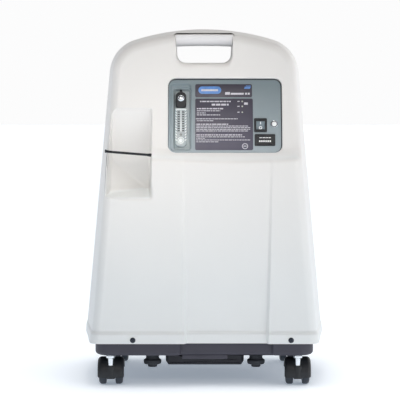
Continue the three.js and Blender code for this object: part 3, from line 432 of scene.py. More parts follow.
def seam_half_width(z):
    return FOOT_HALF_WIDTH - SIDE_TAPER * (z - FOOT_Z)


def shoulder_centre():
    """Centre of the arc that touches the tapering side and the arched top."""
    normal = np.array([math.cos(TAPER_ANGLE), math.sin(TAPER_ANGLE)])
    along = np.array([-normal[1], normal[0]])
    side = normal @ np.array([FOOT_HALF_WIDTH, FOOT_Z])
    foot = normal * (side - SHOULDER_RADIUS)
    from_arch = foot - np.array([0, ARCH_Z])
    reach = ARCH_RADIUS - SHOULDER_RADIUS
    half = along @ from_arch
    return foot + along * (math.sqrt(half * half - from_arch @ from_arch + reach * reach) - half)


SHOULDER = shoulder_centre()
MEET_ANGLE = math.atan2(SHOULDER[1] - ARCH_Z, SHOULDER[0])


def outline_distance(x, z):
    """Distance outside the cabinet's front outline at the seam; negative inside."""
    x = abs(x)
    side = (x - seam_half_width(z)) * math.cos(TAPER_ANGLE)
    arch = np.hypot(x, z - ARCH_Z) - ARCH_RADIUS
    shoulder = np.hypot(x - SHOULDER[0], z - SHOULDER[1]) - SHOULDER_RADIUS
    angle = np.arctan2(z - SHOULDER[1], x - SHOULDER[0])
    nearest = np.where(angle > MEET_ANGLE, arch, np.where(angle > TAPER_ANGLE, shoulder, side))
    return np.maximum(nearest, -60)


def cabinet_loop():
    """The outline at the seam, with the wider skirt at its foot, anticlockwise."""
    wide = SKIRT_PROUD / 2
    right = [(FOOT_HALF_WIDTH + wide, FOOT_Z), (seam_half_width(SKIRT_TOP_Z - 1) + wide, SKIRT_TOP_Z - 1)]
    heights = np.arange(SKIRT_TOP_Z + 1, SHOULDER[1] + SHOULDER_RADIUS * math.sin(TAPER_ANGLE), 3.0)
    right += [(seam_half_width(z), z) for z in heights]
    for angle in np.linspace(TAPER_ANGLE, MEET_ANGLE, 44):
        direction = np.array([math.cos(angle), math.sin(angle)])
        right.append(tuple(SHOULDER + SHOULDER_RADIUS * direction))
    for angle in np.linspace(MEET_ANGLE, math.pi / 2, 60)[1:]:
        right.append((ARCH_RADIUS * math.cos(angle), ARCH_Z + ARCH_RADIUS * math.sin(angle)))
    left = [(-x, z) for x, z in right[:-1][::-1]]
    half = FOOT_HALF_WIDTH + wide
    foot = [(x, FOOT_Z) for x in np.linspace(-half, half, 320)[1:-1]]
    return np.array(right + left + foot)


def side_field(x, z, depth, proud=0.0):
    """The drafted side: it leans in from the seam towards the front or rear face."""
    return (outline_distance(x, z) - proud + depth * math.tan(SIDE_DRAFT)) * math.cos(SIDE_DRAFT)


def with_skirt(body, x, z, depth, face_depth):
    """Adds the thicker band round the foot, with tighter edges at the seam than on the faces."""
    face = depth - (face_depth(x, np.maximum(z, SKIRT_TOP_Z)) + SKIRT_PROUD)
    band = round_max(EDGE_RADIUS, side_field(x, z, depth, SKIRT_PROUD / 2), face)
    soft = blend_step(depth, 60, 130)
    band = round_max(1.6 + 1.6 * soft, band, z - SKIRT_TOP_Z)
    return round_min(1.2 + 4.5 * soft, body, band)


def blend_step(value, low, high):
    t = np.clip((value - low) / (high - low), 0, 1)
    return t * t * (3 - 2 * t)


LOWER_SLOPE = (FRONT_FOOT_DEPTH - LEDGE_DEPTH) / (LEDGE_Z - SKIRT_TOP_Z)


def console_depth(z):
    return CONSOLE_DEPTH - math.tan(CONSOLE_LEAN) * (z - CONSOLE_Z)


def recessed_depth(x, z):
    """Depth of the lower front face, with its shallow channel."""
    top, run = RECESS["top"], RECESS["run"]
    down = (top - np.minimum(z, top)) / (top - FOOT_Z)
    ends = (RECESS[key] for key in ("left", "right", "sunk"))
    left, right, sunk = (high + (low - high) * down for high, low in ends)
    share = round_max(0.25, (left - x) / run, (x - right) / run)
    return FRONT_FOOT_DEPTH - LOWER_SLOPE * (z - SKIRT_TOP_Z) - sunk * blend_step(-share, 0.0, 1.0)


def plane(through_a, through_b, through_c, outside):
    """Signed distance to a plane in (x, z, depth), positive on the side where the outside point is."""
    a, b, c = (np.array(p, float) for p in (through_a, through_b, through_c))
    normal = unit(np.cross(b - a, c - a))
    if normal @ (np.array(outside, float) - a) < 0:
        normal = -normal

    def distance(x, z, depth):
        return normal[0] * (x - a[0]) + normal[1] * (z - a[1]) + normal[2] * (depth - a[2])
    return distance


# Corners of the bottle pocket, and other points on its faces, as (x, z, depth).
POCKET_TOP_LEFT = (-172.5, 522.0, 117.0)
POCKET_TOP_RIGHT = (-99.0, 522.0, 117.0)
POCKET_DEEPEST = (-108.0, 366.8, 88.0)
POCKET_LEFT_FOOT = (-184.0, 356.0, 158.0)
POCKET_RIGHT_FOOT = (-99.3, 356.0, 158.0)
FACET_TOP_LEFT = (-180.0, 425.0, 98.5)
FACET_FOOT_LEFT = (-182.0, 364.0, 121.0)
LEFT_WALL = ((-174.0, 522.0, 125.0), (-181.0, 400.0, 145.0), (-171.5, 522.0, 105.0))
RIGHT_WALL = ((-93.0, 522.0, 200.0), (-96.8, 356.0, 200.0), POCKET_TOP_RIGHT)
TOP_WALL = ((-100.0, 522.0, 200.0), (-180.0, 522.0, 200.0), (-140.0, 520.0, 110.0))

# Places in the cabinet behind, below, left of, right of and above the pocket.
BEHIND, BELOW = (-140.0, 450.0, 60.0), (-140.0, 300.0, 120.0)
LEFT, RIGHT, ABOVE = (-260.0, 450.0, 150.0), (0.0, 450.0, 150.0), (-140.0, 640.0, 150.0)

pocket_back = plane(POCKET_TOP_LEFT, POCKET_TOP_RIGHT, POCKET_DEEPEST, BEHIND)
pocket_facet = plane(FACET_TOP_LEFT, POCKET_DEEPEST, FACET_FOOT_LEFT, BEHIND)
pocket_shelf = plane(POCKET_LEFT_FOOT, POCKET_RIGHT_FOOT, POCKET_DEEPEST, BELOW)
pocket_left = plane(*LEFT_WALL, LEFT)
pocket_right = plane(*RIGHT_WALL, RIGHT)
pocket_top = plane(*TOP_WALL, ABOVE)


def pocket_field(x, z, depth):
    """Negative in the space that the bottle stands in."""
    walls = round_max(2.0, pocket_back(x, z, depth), pocket_facet(x, z, depth))
    walls = round_max(5.0, walls, pocket_shelf(x, z, depth))
    sides = round_max(13.0, pocket_left(x, z, depth), pocket_top(x, z, depth))
    right = round_max(4.0, pocket_right(x, z, depth), walls)
    return round_max(4.0, sides, right)


LEDGE_LEAN = 0.5                              # radians that its upper face tips forwards
LEDGE_BOW = {"middle": 42.0, "half": 130.0, "rise": 4.0}


def front_field(x, z, depth):
    side = side_field(x, z, depth)
    bow = LEDGE_BOW["rise"] * ((x - LEDGE_BOW["middle"]) / LEDGE_BOW["half"]) ** 2
    lower = (depth - recessed_depth(x, z)) * math.cos(math.atan(LOWER_SLOPE))
    rise, run = z - (LEDGE_Z + bow + 4), depth - (LEDGE_DEPTH - 2)
    lower = round_max(LEDGE_RADIUS, lower, rise * math.cos(LEDGE_LEAN) + run * math.sin(LEDGE_LEAN))
    console = (depth - console_depth(z)) * math.cos(CONSOLE_LEAN)
    console = round_max(2.0, console, depth - CONSOLE_DEPTH)
    body = round_max(EDGE_RADIUS, side, round_min(10.0, lower, console))
    body = with_skirt(body, x, z, depth, recessed_depth)
    # The pocket's rim is softer at its foot, except in the left corner.
    bevel = 2.2 + 4.5 * blend_step(-z, -385, -362) * blend_step(x, -176, -150)
    return round_max(bevel, body, -pocket_field(x, z, depth))


def rear_field(x, z, depth):
    lower, upper = (depth - plane_depth for plane_depth in rear_planes(z))
    lower, upper = lower * math.cos(REAR_TILT), upper * math.cos(math.atan(REAR_TOP_SLOPE))
    body = round_max(EDGE_RADIUS, side_field(x, z, depth), round_max(40.0, lower, upper))
    return with_skirt(body, x, z, depth, lambda x, z: rear_depth(z) + 0 * x)


# ------------------------------------------------------------------ cabinet shells

def hand_loop():
    corners = [(HAND_HALF_BOTTOM, HAND_BOTTOM_Z), (HAND_HALF_TOP, HAND_TOP_Z), (-HAND_HALF_TOP, HAND_TOP_Z),
               (-HAND_HALF_BOTTOM, HAND_BOTTOM_Z)]
    return rounded_loop(corners, [17, 4, 4, 17], 2.5)


def hand_lip_radius(z):
    """The edge is soft round the open part and tight where the grip fills it."""
    return 0.3 + 4.2 * blend_step(-z, -640, -614) + 6.0 * blend_step(-z, -616, -603)


def tunnel_rows(solid, loop):
    """The lip and wall of the hand opening, from the face in to the seam."""
    points, outward = loop
    radius = hand_lip_radius(points[:, 1])
    rows = []
    for angle in ALONG:
        place = points + outward * (radius * (1 - math.sin(angle)))[:, None]
        face = solid.height(place)
        depth = face - radius * (1 - math.cos(angle))
        inward = np.column_stack([-outward, np.zeros(len(place))])
        lean = unit(solid.normal(place, face) * math.cos(angle) + inward * math.sin(angle))
        rows.append((place, depth, lean))
    place, depth, _ = rows[-1]
    inward = np.column_stack([-outward, np.zeros(len(place))])
    rows.append((place, depth - 2, inward))
    rows.append((place, np.full(len(place), SEAM_HALF_GAP), inward))
    return rows


def cut_rows(loop, radius, drop, matrix, facing):
    """The lip and wall of an opening cut square to a flat face."""
    points, outward = loop
    rows = []
    steps = [(radius * (1 - math.sin(a)), -radius * (1 - math.cos(a)), a) for a in ALONG]
    steps.append((0.0, -drop, math.pi / 2))
    for offset, high, angle in steps:
        place = points + outward * offset
        local = np.column_stack([place, np.full(len(place), high)])
        lean = np.column_stack([-outward * math.sin(angle), np.full(len(place), math.cos(angle))])
        solid, lean = moved(local, matrix), turned(lean, matrix)
        rows.append((
            np.column_stack([-facing * solid[:, 0], solid[:, 2]]),
            facing * solid[:, 1],
            np.column_stack([-facing * lean[:, 0], lean[:, 2], facing * lean[:, 1]]),
        ))
    return rows


def opened_relief(outline, openings, height, normal, spacing, **limits):
    """A relief with the lip and wall of each opening added ring by ring.
    Returns flat places, heights, normals, faces and the last ring of each opening."""
    loops = [outline] + [rows[0][0] for rows in openings]
    places, heights, normals, triangles = relief(loops, height, normal, spacing, **limits)
    faces = [list(f) for f in triangles.tolist()]
    last_rings = []
    start = len(outline)
    for rows in openings:
        count = len(rows[0][0])
        ring = list(range(start, start + count))
        start += count
        heights[ring] = rows[0][1]
        for place, high, lean in rows[1:]:
            inner = list(range(len(places), len(places) + count))
            places = np.vstack([places, place])
            heights = np.concatenate([heights, high])
            normals = np.vstack([normals, lean])
            for i in range(count):
                j = (i + 1) % count
                faces.append([ring[j], inner[j], inner[i], ring[i]])
            ring = inner
        last_rings.append(ring)
    return places, heights, normals, faces, last_rings


def cabinet_shell(name, solid, facing, openings):
    """One half of the cabinet. facing is -1 for the front shell and 1 for the rear one."""
    made = opened_relief(cabinet_loop(), openings, solid.height, solid.normal, 7.0)
    places, heights, normals, faces, _ = made
    points = np.column_stack([-facing * places[:, 0], facing * heights, places[:, 1]])
    leans = np.column_stack([-facing * normals[:, 0], facing * normals[:, 2], normals[:, 1]])
    return shell(name, points, leans, faces, WALL, facing)


# ------------------------------------------------------------------ materials

def linear(red, green, blue):
    """A display colour, 0 to 255, as the linear colour that shaders take."""
    shares = [value / 255 for value in (red, green, blue)]
    return tuple(c / 12.92 if c <= 0.04045 else ((c + 0.055) / 1.055) ** 2.4 for c in shares)


def scaled(color, factor):
    return tuple(min(1.0, c * factor) for c in color) + (1.0,)


def feed(tree, socket, value):
    """Sets an input, or links it when the value is another node's output."""
    if isinstance(value, bpy.types.NodeSocket):
        tree.links.new(value, socket)
    else:
        socket.default_value = value


def feed_all(tree, node, inputs):
    for key, value in inputs.items():
        feed(tree, node.inputs[key.replace("_", " ").title().replace("Ior", "IOR")], value)


def add_node(tree, kind, options=(), **inputs):
    """A new shader node, with its options set and then its inputs set or linked by name."""
    node = tree.nodes.new("ShaderNode" + kind)
    for key, value in dict(options).items():
        setattr(node, key, value)
    feed_all(tree, node, inputs)
    return node


def ranged(tree, value, low, high, start, stop):
    """Maps start to low and stop to high, and holds the ends."""
    node = add_node(tree, "MapRange", value=value, from_min=start, from_max=stop, to_min=low, to_max=high)
    return node.outputs["Result"]


def mixed(tree, factor, first, second):
    node = add_node(tree, "Mix", {"data_type": "RGBA"}, factor=factor, a=first, b=second)
    return node.outputs["Result"]


def times(tree, kind, first, second):
    """A product; kind is Math for numbers and VectorMath for colours."""
    node = add_node(tree, kind, {"operation": "MULTIPLY"})
    feed(tree, node.inputs[0], first)
    feed(tree, node.inputs[1], second)
    return node.outputs[0]


WAVE_LENGTH = 0.314                           # of the wave texture at scale 1, in metres
# Painted highlight where the lower cabinet faces upwards: the normal's upward share over which it grows, the
# height it stops below, its run and how much paler it gets.
TOP_HIGHLIGHT = {"lean": (0.42, 0.85), "below": 440.0, "run": 40.0, "lift": 1.2}


class Finish:
    """Builds one node material; every pattern is in the piece's own coordinates, in metres."""

    def __init__(self, name, color, roughness, metallic=0.0):
        self.material = bpy.data.materials.new(name)
        self.material.use_nodes = True
        self.tree = self.material.node_tree
        self.set(metallic=metallic)
        self.color = linear(*color)
        self.roughness = roughness
        self.place = self.node("TexCoord").outputs["Object"]

    def set(self, **sockets):
        """Sets or links inputs of the shader."""
        feed_all(self.tree, self.tree.nodes["Principled BSDF"], sockets)
        return self

    def node(self, kind, options=(), **inputs):
        return add_node(self.tree, kind, options, **inputs)

    def noise(self, size, detail=3.0, stretch=(1, 1, 1)):
        """A noise whose features are about the given size, in millimetres."""
        vector = self.node("Mapping", vector=self.place, scale=stretch).outputs["Vector"]
        return self.node("TexNoise", vector=vector, scale=1 / (size * MM), detail=detail).outputs["Fac"]

    def ranged(self, value, low, high, start=0.3, stop=0.7):
        return ranged(self.tree, value, low, high, start, stop)

    def upward(self, vector):
        return self.node("SeparateXYZ", vector=vector).outputs["Z"]

    def mottle(self, share, size):
        """Slow, slight changes of colour, as moulded plastic and cast metal have."""
        low, high = scaled(self.color, 1 - share), scaled(self.color, 1 + share)
        self.base = mixed(self.tree, self.ranged(self.noise(size), 0, 1), low, high)
        return self

    def over(self, share, color):
        """Mixes a colour over the base colour."""
        self.base = mixed(self.tree, share, self.base, color)
        return self

    def worn(self, share, lift=1.5):
        """Paler where the surface turns sharply outwards."""
        edge = self.node("NewGeometry").outputs["Pointiness"]
        return self.over(self.ranged(edge, 0, share, 0.51, 0.6), scaled(self.color, lift))

    def fade(self, color, low, high):
        """Painted light and shade: turns slowly to another colour between two heights, in millimetres."""
        share = self.ranged(self.upward(self.place), 0, 1, low * MM, high * MM)
        return self.over(share, (*linear(*color), 1.0))

    def painted_top_highlight(self):
        """Painted highlight: paler where the surface faces upwards, on the lower part of the cabinet."""
        normal = self.node("NewGeometry").outputs["Normal"]
        facing = self.ranged(self.upward(normal), 0, 1, *TOP_HIGHLIGHT["lean"])
        top = TOP_HIGHLIGHT["below"]
        lower = self.ranged(self.upward(self.place), 1, 0, top * MM, (top + TOP_HIGHLIGHT["run"]) * MM)
        return self.over(times(self.tree, "Math", facing, lower), scaled(self.color, TOP_HIGHLIGHT["lift"]))

    def rough(self, spread, size):
        value = self.ranged(self.noise(size, 4), self.roughness - spread, self.roughness + spread)
        return self.set(roughness=value)

    def bump(self, value, height):
        """Raises the surface by up to height millimetres."""
        return self.set(normal=self.node("Bump", distance=height * MM, height=value).outputs["Normal"])

    def grain(self, size, height, stretch=(1, 1, 1)):
        return self.bump(self.noise(size, 2, stretch), height)

    def pores(self, size, height):
        texture = self.node("TexVoronoi", vector=self.place, scale=1 / (size * MM))
        return self.bump(texture.outputs["Distance"], height)

    def weave(self, pitch, height):
        texture = self.node("TexWave", {"bands_direction": "DIAGONAL"}, vector=self.place,
                            scale=WAVE_LENGTH / (pitch * MM), distortion=1.5)
        return self.bump(texture.outputs["Fac"], height)

    def done(self):
        self.set(base_color=self.base)
        return self.material


def plastic(name, color, roughness, grain=(1.1, 0.02), mottle=(0.02, 70), worn=0.0):
    finish = Finish(name, color, roughness).mottle(*mottle)
    if worn:
        finish.worn(worn)
    return finish.rough(0.05, 25).grain(*grain).done()


def cabinet_finish(name, low_color, high_color, low, high):
    """White plastic with painted light: its colour changes slightly between two heights, and it has a painted
    highlight where it faces upwards low down.
    """
    finish = Finish(name, low_color, 0.42).mottle(0.008, 90).fade(high_color, low, high)
    return finish.painted_top_highlight().rough(0.05, 25).grain(0.9, 0.012).done()


def metal(name, color, roughness, brushed=(1, 1, 1), size=0.8, height=0.01):
    finish = Finish(name, color, roughness, 1.0).mottle(0.05, 20)
    return finish.rough(0.05, 8).grain(size, height, brushed).done()


def clear_plastic(name, color, alpha):
    finish = Finish(name, color, 0.08).mottle(0.02, 30).grain(6, 0.03)
    finish.set(alpha=alpha, ior=1.49, coat_weight=1.0, coat_roughness=0.04)
    return finish.done()


# Panel plastic with painted shade that darkens it towards the top of the console.
def panel_finish(name, low_color, high_color):
    finish = Finish(name, low_color, 0.42).mottle(0.03, 40).fade(high_color, CONSOLE_Z + 10, CONSOLE_Z + 130)
    return finish.rough(0.05, 25).grain(0.7, 0.015).done()


# Label film with painted shade that darkens it towards the top of the console.
def label_finish(name, low_color, high_color):
    finish = Finish(name, low_color, 0.38).mottle(0.05, 18).fade(high_color, CONSOLE_Z + 20, CONSOLE_Z + 130)
    return finish.rough(0.06, 12).grain(2.5, 0.01).done()


MATERIALS = {
    # Painted light: a cooler tint low on the cabinet and a warmer one above.
    "cabinet_plastic": cabinet_finish("cabinet_plastic", (231, 234, 234), (236, 234, 231), 180, 430),
    # Painted shade: the grip turns darker and bluer along its underside.
    "grip_plastic": cabinet_finish("grip_plastic", (198, 201, 205), (236, 234, 234), 632, 650),
    # Painted shade: the panel turns darker towards the top of the console.
    "panel_plastic": panel_finish("panel_plastic", (164, 176, 182), (118, 132, 137)),
    # A paler copy of the panel's colour for the well: painted light against the shade inside it, with painted
    # shade darker towards the top.
    "panel_well_lit": panel_finish("panel_well_lit", (198, 208, 211), (176, 187, 190)),
    # Painted shade: the labels turn darker towards the top of the console.
    "label_film": label_finish("label_film", (80, 77, 95), (52, 48, 62)),
    "label_print": Finish("label_print", (206, 205, 212), 0.45).mottle(0.08, 3).rough(0.05, 5).done(),
    "white_print": Finish("white_print", (246, 247, 248), 0.4).mottle(0.03, 3).rough(0.05, 5).done(),
    "label_blue": Finish("label_blue", (92, 140, 205), 0.4).mottle(0.12, 9).rough(0.05, 5).done(),
    "clear_acrylic": clear_plastic("clear_acrylic", (214, 224, 226), 0.42),
    # Very pale clear plastic for the plug, and for painted glints on the flowmeter.
    "pale_clear_and_glint": clear_plastic("pale_clear_and_glint", (240, 246, 247), 0.75),
    "black_plastic": plastic("black_plastic", (24, 27, 32), 0.46, (0.6, 0.02), (0.12, 25), 0.35),
    "base_plastic": plastic("base_plastic", (58, 57, 68), 0.55, (0.9, 0.04), (0.06, 60), 0.4),
    "duct_plastic": plastic("duct_plastic", (36, 37, 44), 0.6, (1.2, 0.05), (0.08, 40), 0.4),
    "rubber": plastic("rubber", (46, 49, 55), 0.75, (0.8, 0.06), (0.1, 20), 0.3),
    "wheel_tread": plastic("wheel_tread", (44, 50, 59), 0.45, (0.8, 0.03), (0.1, 12), 0.3),
    "grey_plastic": plastic("grey_plastic", (118, 132, 139), 0.4, (0.5, 0.012), (0.03, 8)),
    "button_plastic": plastic("button_plastic", (250, 250, 250), 0.25, (0.5, 0.006), (0.02, 4)),
    "chrome": metal("chrome", (222, 226, 230), 0.14),
    "steel": metal("steel", (158, 163, 168), 0.35, (1, 1, 6)),
    "screw_black": metal("screw_black", (60, 64, 72), 0.34, size=0.5),
    "aluminium": metal("aluminium", (186, 189, 192), 0.5, size=1.5, height=0.05),
    "copper": metal("copper", (190, 124, 84), 0.35, (4, 1, 1)),
    "foam": Finish("foam", (52, 54, 60), 0.95).mottle(0.2, 6).rough(0.02, 9).pores(1.6, 0.9).done(),
    "webbing": Finish("webbing", (30, 32, 36), 0.7).mottle(0.15, 6).rough(0.05, 4).weave(1.1, 0.15).done(),
    "indicator": plastic("indicator", (196, 200, 190), 0.2, (0.5, 0.005), (0.05, 2)),
    "circuit": plastic("circuit", (47, 107, 70), 0.4, (0.8, 0.02), (0.15, 15)),
}


def painted(piece, *names):
    """Puts materials on a piece's slots, in order."""
    piece.data.materials.clear()
    for name in names:
        piece.data.materials.append(MATERIALS[name])
    return piece


def fitted(piece, material, body, *nodes, slot=None):
    """Finishes a piece: its material, the body it moves with and the CAD nodes it stands for."""
    if material is not None:
        painted(piece, material)
    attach(piece, body)
    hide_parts(*nodes)
    return piece


# ------------------------------------------------------------------ both halves of the cabinet

FILTER = {"z": 374.0, "width": 170.0, "height": 100.0, "bar": 9.0, "proud": 2.5, "rib_rise": (-22, 0, 22)}
LOUVRE = {"z": 230.0, "width": 190.0, "height": 5.0, "pitch": 13.0, "count": 6}
GLAND = {"x": -120.0, "z": 146.0, "hole": 9.6}

front_solid = Solid(front_field)
rear_solid = Solid(rear_field)


def louvre_rows():
    rows = []
    for i in range(LOUVRE["count"]):
        middle = (i - (LOUVRE["count"] - 1) / 2) * LOUVRE["pitch"]
        half = LOUVRE["height"] / 2
        across = (-LOUVRE["width"] / 2, LOUVRE["width"] / 2)
        loop = rectangle_loop(across, (middle - half, middle + half), 2.3)
        rows.append(cut_rows(loop, 0.9, 4.0, rear_matrix(LOUVRE["z"]), 1))
    return rows


def filter_loop(grow, radius):
    half_width, half_height = FILTER["width"] / 2 + grow, FILTER["height"] / 2 + grow
    return rectangle_loop((-half_width, half_width), (-half_height, half_height), radius)


window = rectangle_loop(PANEL["u"], PANEL["v"], PANEL["radius"])
front_openings = [tunnel_rows(front_solid, hand_loop()), cut_rows(window, 2.0, 7.0, CONSOLE, -1)]
gland_hole = circle_loop(GLAND["hole"], 48, (-GLAND["x"], 0))
rear_openings = [
    tunnel_rows(rear_solid, hand_loop()),
    cut_rows(filter_loop(0, 10), 0.9, 6.0, rear_matrix(FILTER["z"]), 1),
    cut_rows(gland_hole, 0.5, 4.0, rear_matrix(GLAND["z"]), 1),
    *louvre_rows(),
]
front_shell = cabinet_shell("front_shell", front_solid, -1, front_openings)
fitted(front_shell, "cabinet_plastic", "root", "front_cabinet")
rear_shell = cabinet_shell("rear_shell", rear_solid, 1, rear_openings)
fitted(rear_shell, "cabinet_plastic", "root", "rear_cabinet")


def grip():
    """The bar of the handle: rounded under, and bowed a little like the top of the cabinet."""
    high, low, sunk = HAND_TOP_Z - 0.15, GRIP_BOTTOM_Z, 3.0
    top = np.array([[0.0, high]])
    front, rear = (float(solid.height(top)[0]) - 0.3 for solid in (front_solid, rear_solid))
    under_front, under_rear = sunk - console_depth(low), float(rear_depth(low)) - sunk
    corners = [(under_front, low), (under_rear, low), (rear, high), (-front, high)]
    section, _ = rounded_loop(corners, [15, 12, 0.5, 0.5], 2.0)
    depth, z = section.T
    share_up = (z - HAND_BOTTOM_Z) / (HAND_TOP_Z - HAND_BOTTOM_Z)
    half = HAND_HALF_BOTTOM + (HAND_HALF_TOP - HAND_HALF_BOTTOM) * share_up - 0.5
    rings = []
    for share in np.linspace(-1, 1, 41):
        bow = 1.2 * (1 - share * share) * (z < high - 3)
        rings.append(np.column_stack([share * half, depth, z + bow]))
    return surface("grip", np.vstack(rings), skin(len(section), len(rings)))


fitted(grip(), "grip_plastic", "root", "handle_grip", slot="cabinet_plastic")


# ------------------------------------------------------------------ control panel

FACE_W = -PANEL["sunk"]
PLATE_SHIFT = (-0.5, -0.6)                    # the plate sits low and left in the dark liner, leaving a wider painted shadow line at the top and right
PLATE_INSET = 1.2
PLATE_EDGE = 0.7                              # radius of its outer edge
DISH = {"u": (-65.0, -23.5), "v": (10.0, 142.0), "radius": 8.0, "sunk": 2.8, "run": 4.0}


def inside_rectangle(places, u, v, radius):
    """Depth inside a rounded rectangle; negative outside."""
    middle = np.array([(u[0] + u[1]) / 2, (v[0] + v[1]) / 2])
    half = np.array([(u[1] - u[0]) / 2, (v[1] - v[0]) / 2]) - radius
    beyond = abs(places - middle) - half
    outside = np.hypot(np.maximum(beyond[:, 0], 0), np.maximum(beyond[:, 1], 0))
    return radius - outside - np.minimum(beyond.max(axis=1), 0)


class Plate:
    """The panel's face as a height field over u and v: flat, dished round the flowmeter."""

    def height(self, places):
        inside = inside_rectangle(places, DISH["u"], DISH["v"], DISH["radius"])
        edge = inside_rectangle(places - PLATE_SHIFT, PANEL["u"], PANEL["v"], PANEL["radius"]) - PLATE_INSET
        soft = PLATE_EDGE * (1 - np.sqrt(1 - (1 - np.clip(edge / PLATE_EDGE, 0, 1)) ** 2))
        return FACE_W - DISH["sunk"] * blend_step(inside, 0, DISH["run"]) - soft

    def normal(self, places, heights):
        shifts = np.array([(NUDGE, 0), (0, NUDGE)])
        slopes = [(self.height(places + s) - self.height(places - s)) / (2 * NUDGE) for s in shifts]
        return unit(np.column_stack([-slopes[0], -slopes[1], np.ones(len(places))]))


def well_rows(plate):
    """The rounded lip, the wall and the floor's edge of the well that the flowmeter stands in."""
    points, outward = rectangle_loop(WELL["u"], WELL["v"], WELL["radius"], 2.0)
    count, lip = len(points), 2.0
    top = float(plate.height(points.mean(axis=0)[None])[0])
    rows = []
    for angle in ALONG:
        place = points + outward * lip * (1 - math.sin(angle))
        lean = np.column_stack([-outward * math.sin(angle), np.full(count, math.cos(angle))])
        rows.append((place, np.full(count, top - lip * (1 - math.cos(angle))), lean))
    floor = FACE_W - WELL["depth"]
    inward = np.column_stack([-outward, np.full(count, 0.1)])
    rows.append((points - outward * 1.2, np.full(count, floor + 2.5), inward))
    rows.append((points - outward * 3.0, np.full(count, floor), np.tile([0, 0, 1.0], (count, 1))))
    return rows


def control_plate():
    """The panel's face with its well, whose walls and floor take a paler copy of the panel's colour: painted
    light that lifts the shade in the well.
    """
    plate = Plate()
    outline, outward = rectangle_loop(PANEL["u"], PANEL["v"], PANEL["radius"], 2.5)
    border = outline - outward * PLATE_INSET + PLATE_SHIFT
    border[:, 1] -= blend_step(border[:, 1], 110, 140)            # a wider shadow gap along the top
    places, heights, normals, faces, rings = opened_relief(
        border, [well_rows(plate)], plate.height, plate.normal, 8.0, finest=0.8, sag=0.08, rounds=6)
    faces.append(rings[0])
    points = moved(np.column_stack([places, heights]), CONSOLE)
    made = painted(shell("control_plate", points, unit(turned(normals, CONSOLE)), faces, 2.4, -1),
                   "panel_plastic", "panel_well_lit")
    to_console = CONSOLE.inverted()
    for face in made.data.polygons:
        if (to_console @ (face.center / MM)).z < FACE_W - DISH["sunk"] - 1.2:
            face.material_index = 1
    return made


fitted(control_plate(), None, "root", "control_panel", slot="panel_plastic")

# A dark rubber liner round the panel's edge: painted shade that shows as a dark shadow line in the gap round
# the plate.
shadow_liner_rows = [(0.2, -6.6), (0.2, -5.0), (0.5, -4.7), (4.0, -4.7), (4.0, -6.6), (0.2, -6.6)]
shadow_liner = stack("panel_shadow_liner", rectangle_loop(PANEL["u"], PANEL["v"], PANEL["radius"]), shadow_liner_rows, CONSOLE,
               caps=(False, False))
painted(shadow_liner, "rubber")
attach(shadow_liner, "root")


# ------------------------------------------------------------------ labels and status lights

FILM_W = FACE_W + 0.55                        # front of the printed films
HEADER = {"u": (-17.0, 90.0), "v": (115.0, 140.6)}
NOTICE = {"u": (-17.0, 91.5), "v": (12.1, 112.2)}
LIGHTS = {"u": 71.5, "v": (106.7, 97.2, 85.7), "radius": 1.5}

# Printed lines on the lower label as (v, height, from u, to u); they are plain bars, not words.
PRINTED_LINES = [
    (106.6, 2.4, -8, 50), (100.4, 3.6, 14, 46),
    (92.6, 2.4, -14, 37), (88.4, 1.5, -14, 30), (84.2, 1.6, -14, 3), (80.4, 1.6, -14, 30),
    (72.8, 1.5, -14, 63), (69.0, 1.3, -14, 17),
    (62.3, 2.2, -14, 45), (58.8, 1.5, -15, 82), (55.6, 1.5, -15, 87), (52.4, 1.5, -15, 86),
    (49.2, 1.5, -15, 83), (41.6, 2.2, -14, 71), (37.8, 1.4, -15, 76), (34.9, 1.3, -15, 1),
    (31.8, 1.4, -15, 86), (28.2, 1.4, -15, 28),
]


def bars(material, rectangles, high, matrix=CONSOLE):
    """Flat printed bars, each (low u, high u, low v, high v, lean)."""
    points = []
    for low_u, high_u, low_v, high_v, lean in rectangles:
        points += [(low_u, low_v, high), (high_u, low_v, high),
                   (high_u + lean, high_v, high), (low_u + lean, high_v, high)]
    faces = np.arange(len(points)).reshape(-1, 4)
    return painted(surface("bars", moved(points, matrix), faces), material)


def broken_line(chance, v, height, start, stop):
    """One printed line, broken into bars of uneven length with gaps between them."""
    made, u = [], start
    while u < stop - 1:
        length = chance.uniform(2.0, 7.5) * (0.7 + height / 5)
        end = min(u + length, stop)
        made.append((u, end, v - height / 2, v + height / 2, 0))
        u = end + 0.55 + height * 0.25
    return made


def ring_mark(material, middle, outer, inner, high, matrix=CONSOLE):
    """A printed ring."""
    low, width = high - 0.02, outer - inner
    rows = [(0, low), (0, high), (width, high), (width, low)]
    return painted(stack("ring", circle_loop(outer, 40, middle), rows, matrix, caps=(False, False)), material)


def film(name, dims, prints, node):
    """A stuck-on label with a rounded edge and its printed marks, the first material being the film."""
    loop = rectangle_loop(dims["u"], dims["v"], 3.0, 4.0)
    sheet = painted(slab(name, loop, FACE_W + 0.05, FILM_W, 0.25, CONSOLE), "label_film")
    label = joined(name, [sheet] + prints)
    return fitted(label, None, "root", node, slot="label_film")


chance = np.random.RandomState(7)
lines = [bar for row in PRINTED_LINES for bar in broken_line(chance, *row)]
lines += [(LIGHTS["u"] - 9.5, LIGHTS["u"] - 5.5, v - 0.9, v + 0.9, 0.8) for v in LIGHTS["v"]]
lines += [(LIGHTS["u"] + 3.5, LIGHTS["u"] + 10.5, 100.2, 104.6, 0)]
lines += [(-16.0, -14.8, v - 1, v + 1, 0.6) for v in (72.8, 62.3, 41.6)]
notice_prints = [
    bars("label_print", lines, FILM_W + 0.04),
    ring_mark("label_print", (76.3, 19.8), 5.7, 4.2, FILM_W + 0.06),
    bars("label_print", [(73.4, 79.2, 19.0, 20.8, 0)], FILM_W + 0.04),
]
film("notice_label", NOTICE, notice_prints, "label_instructions")

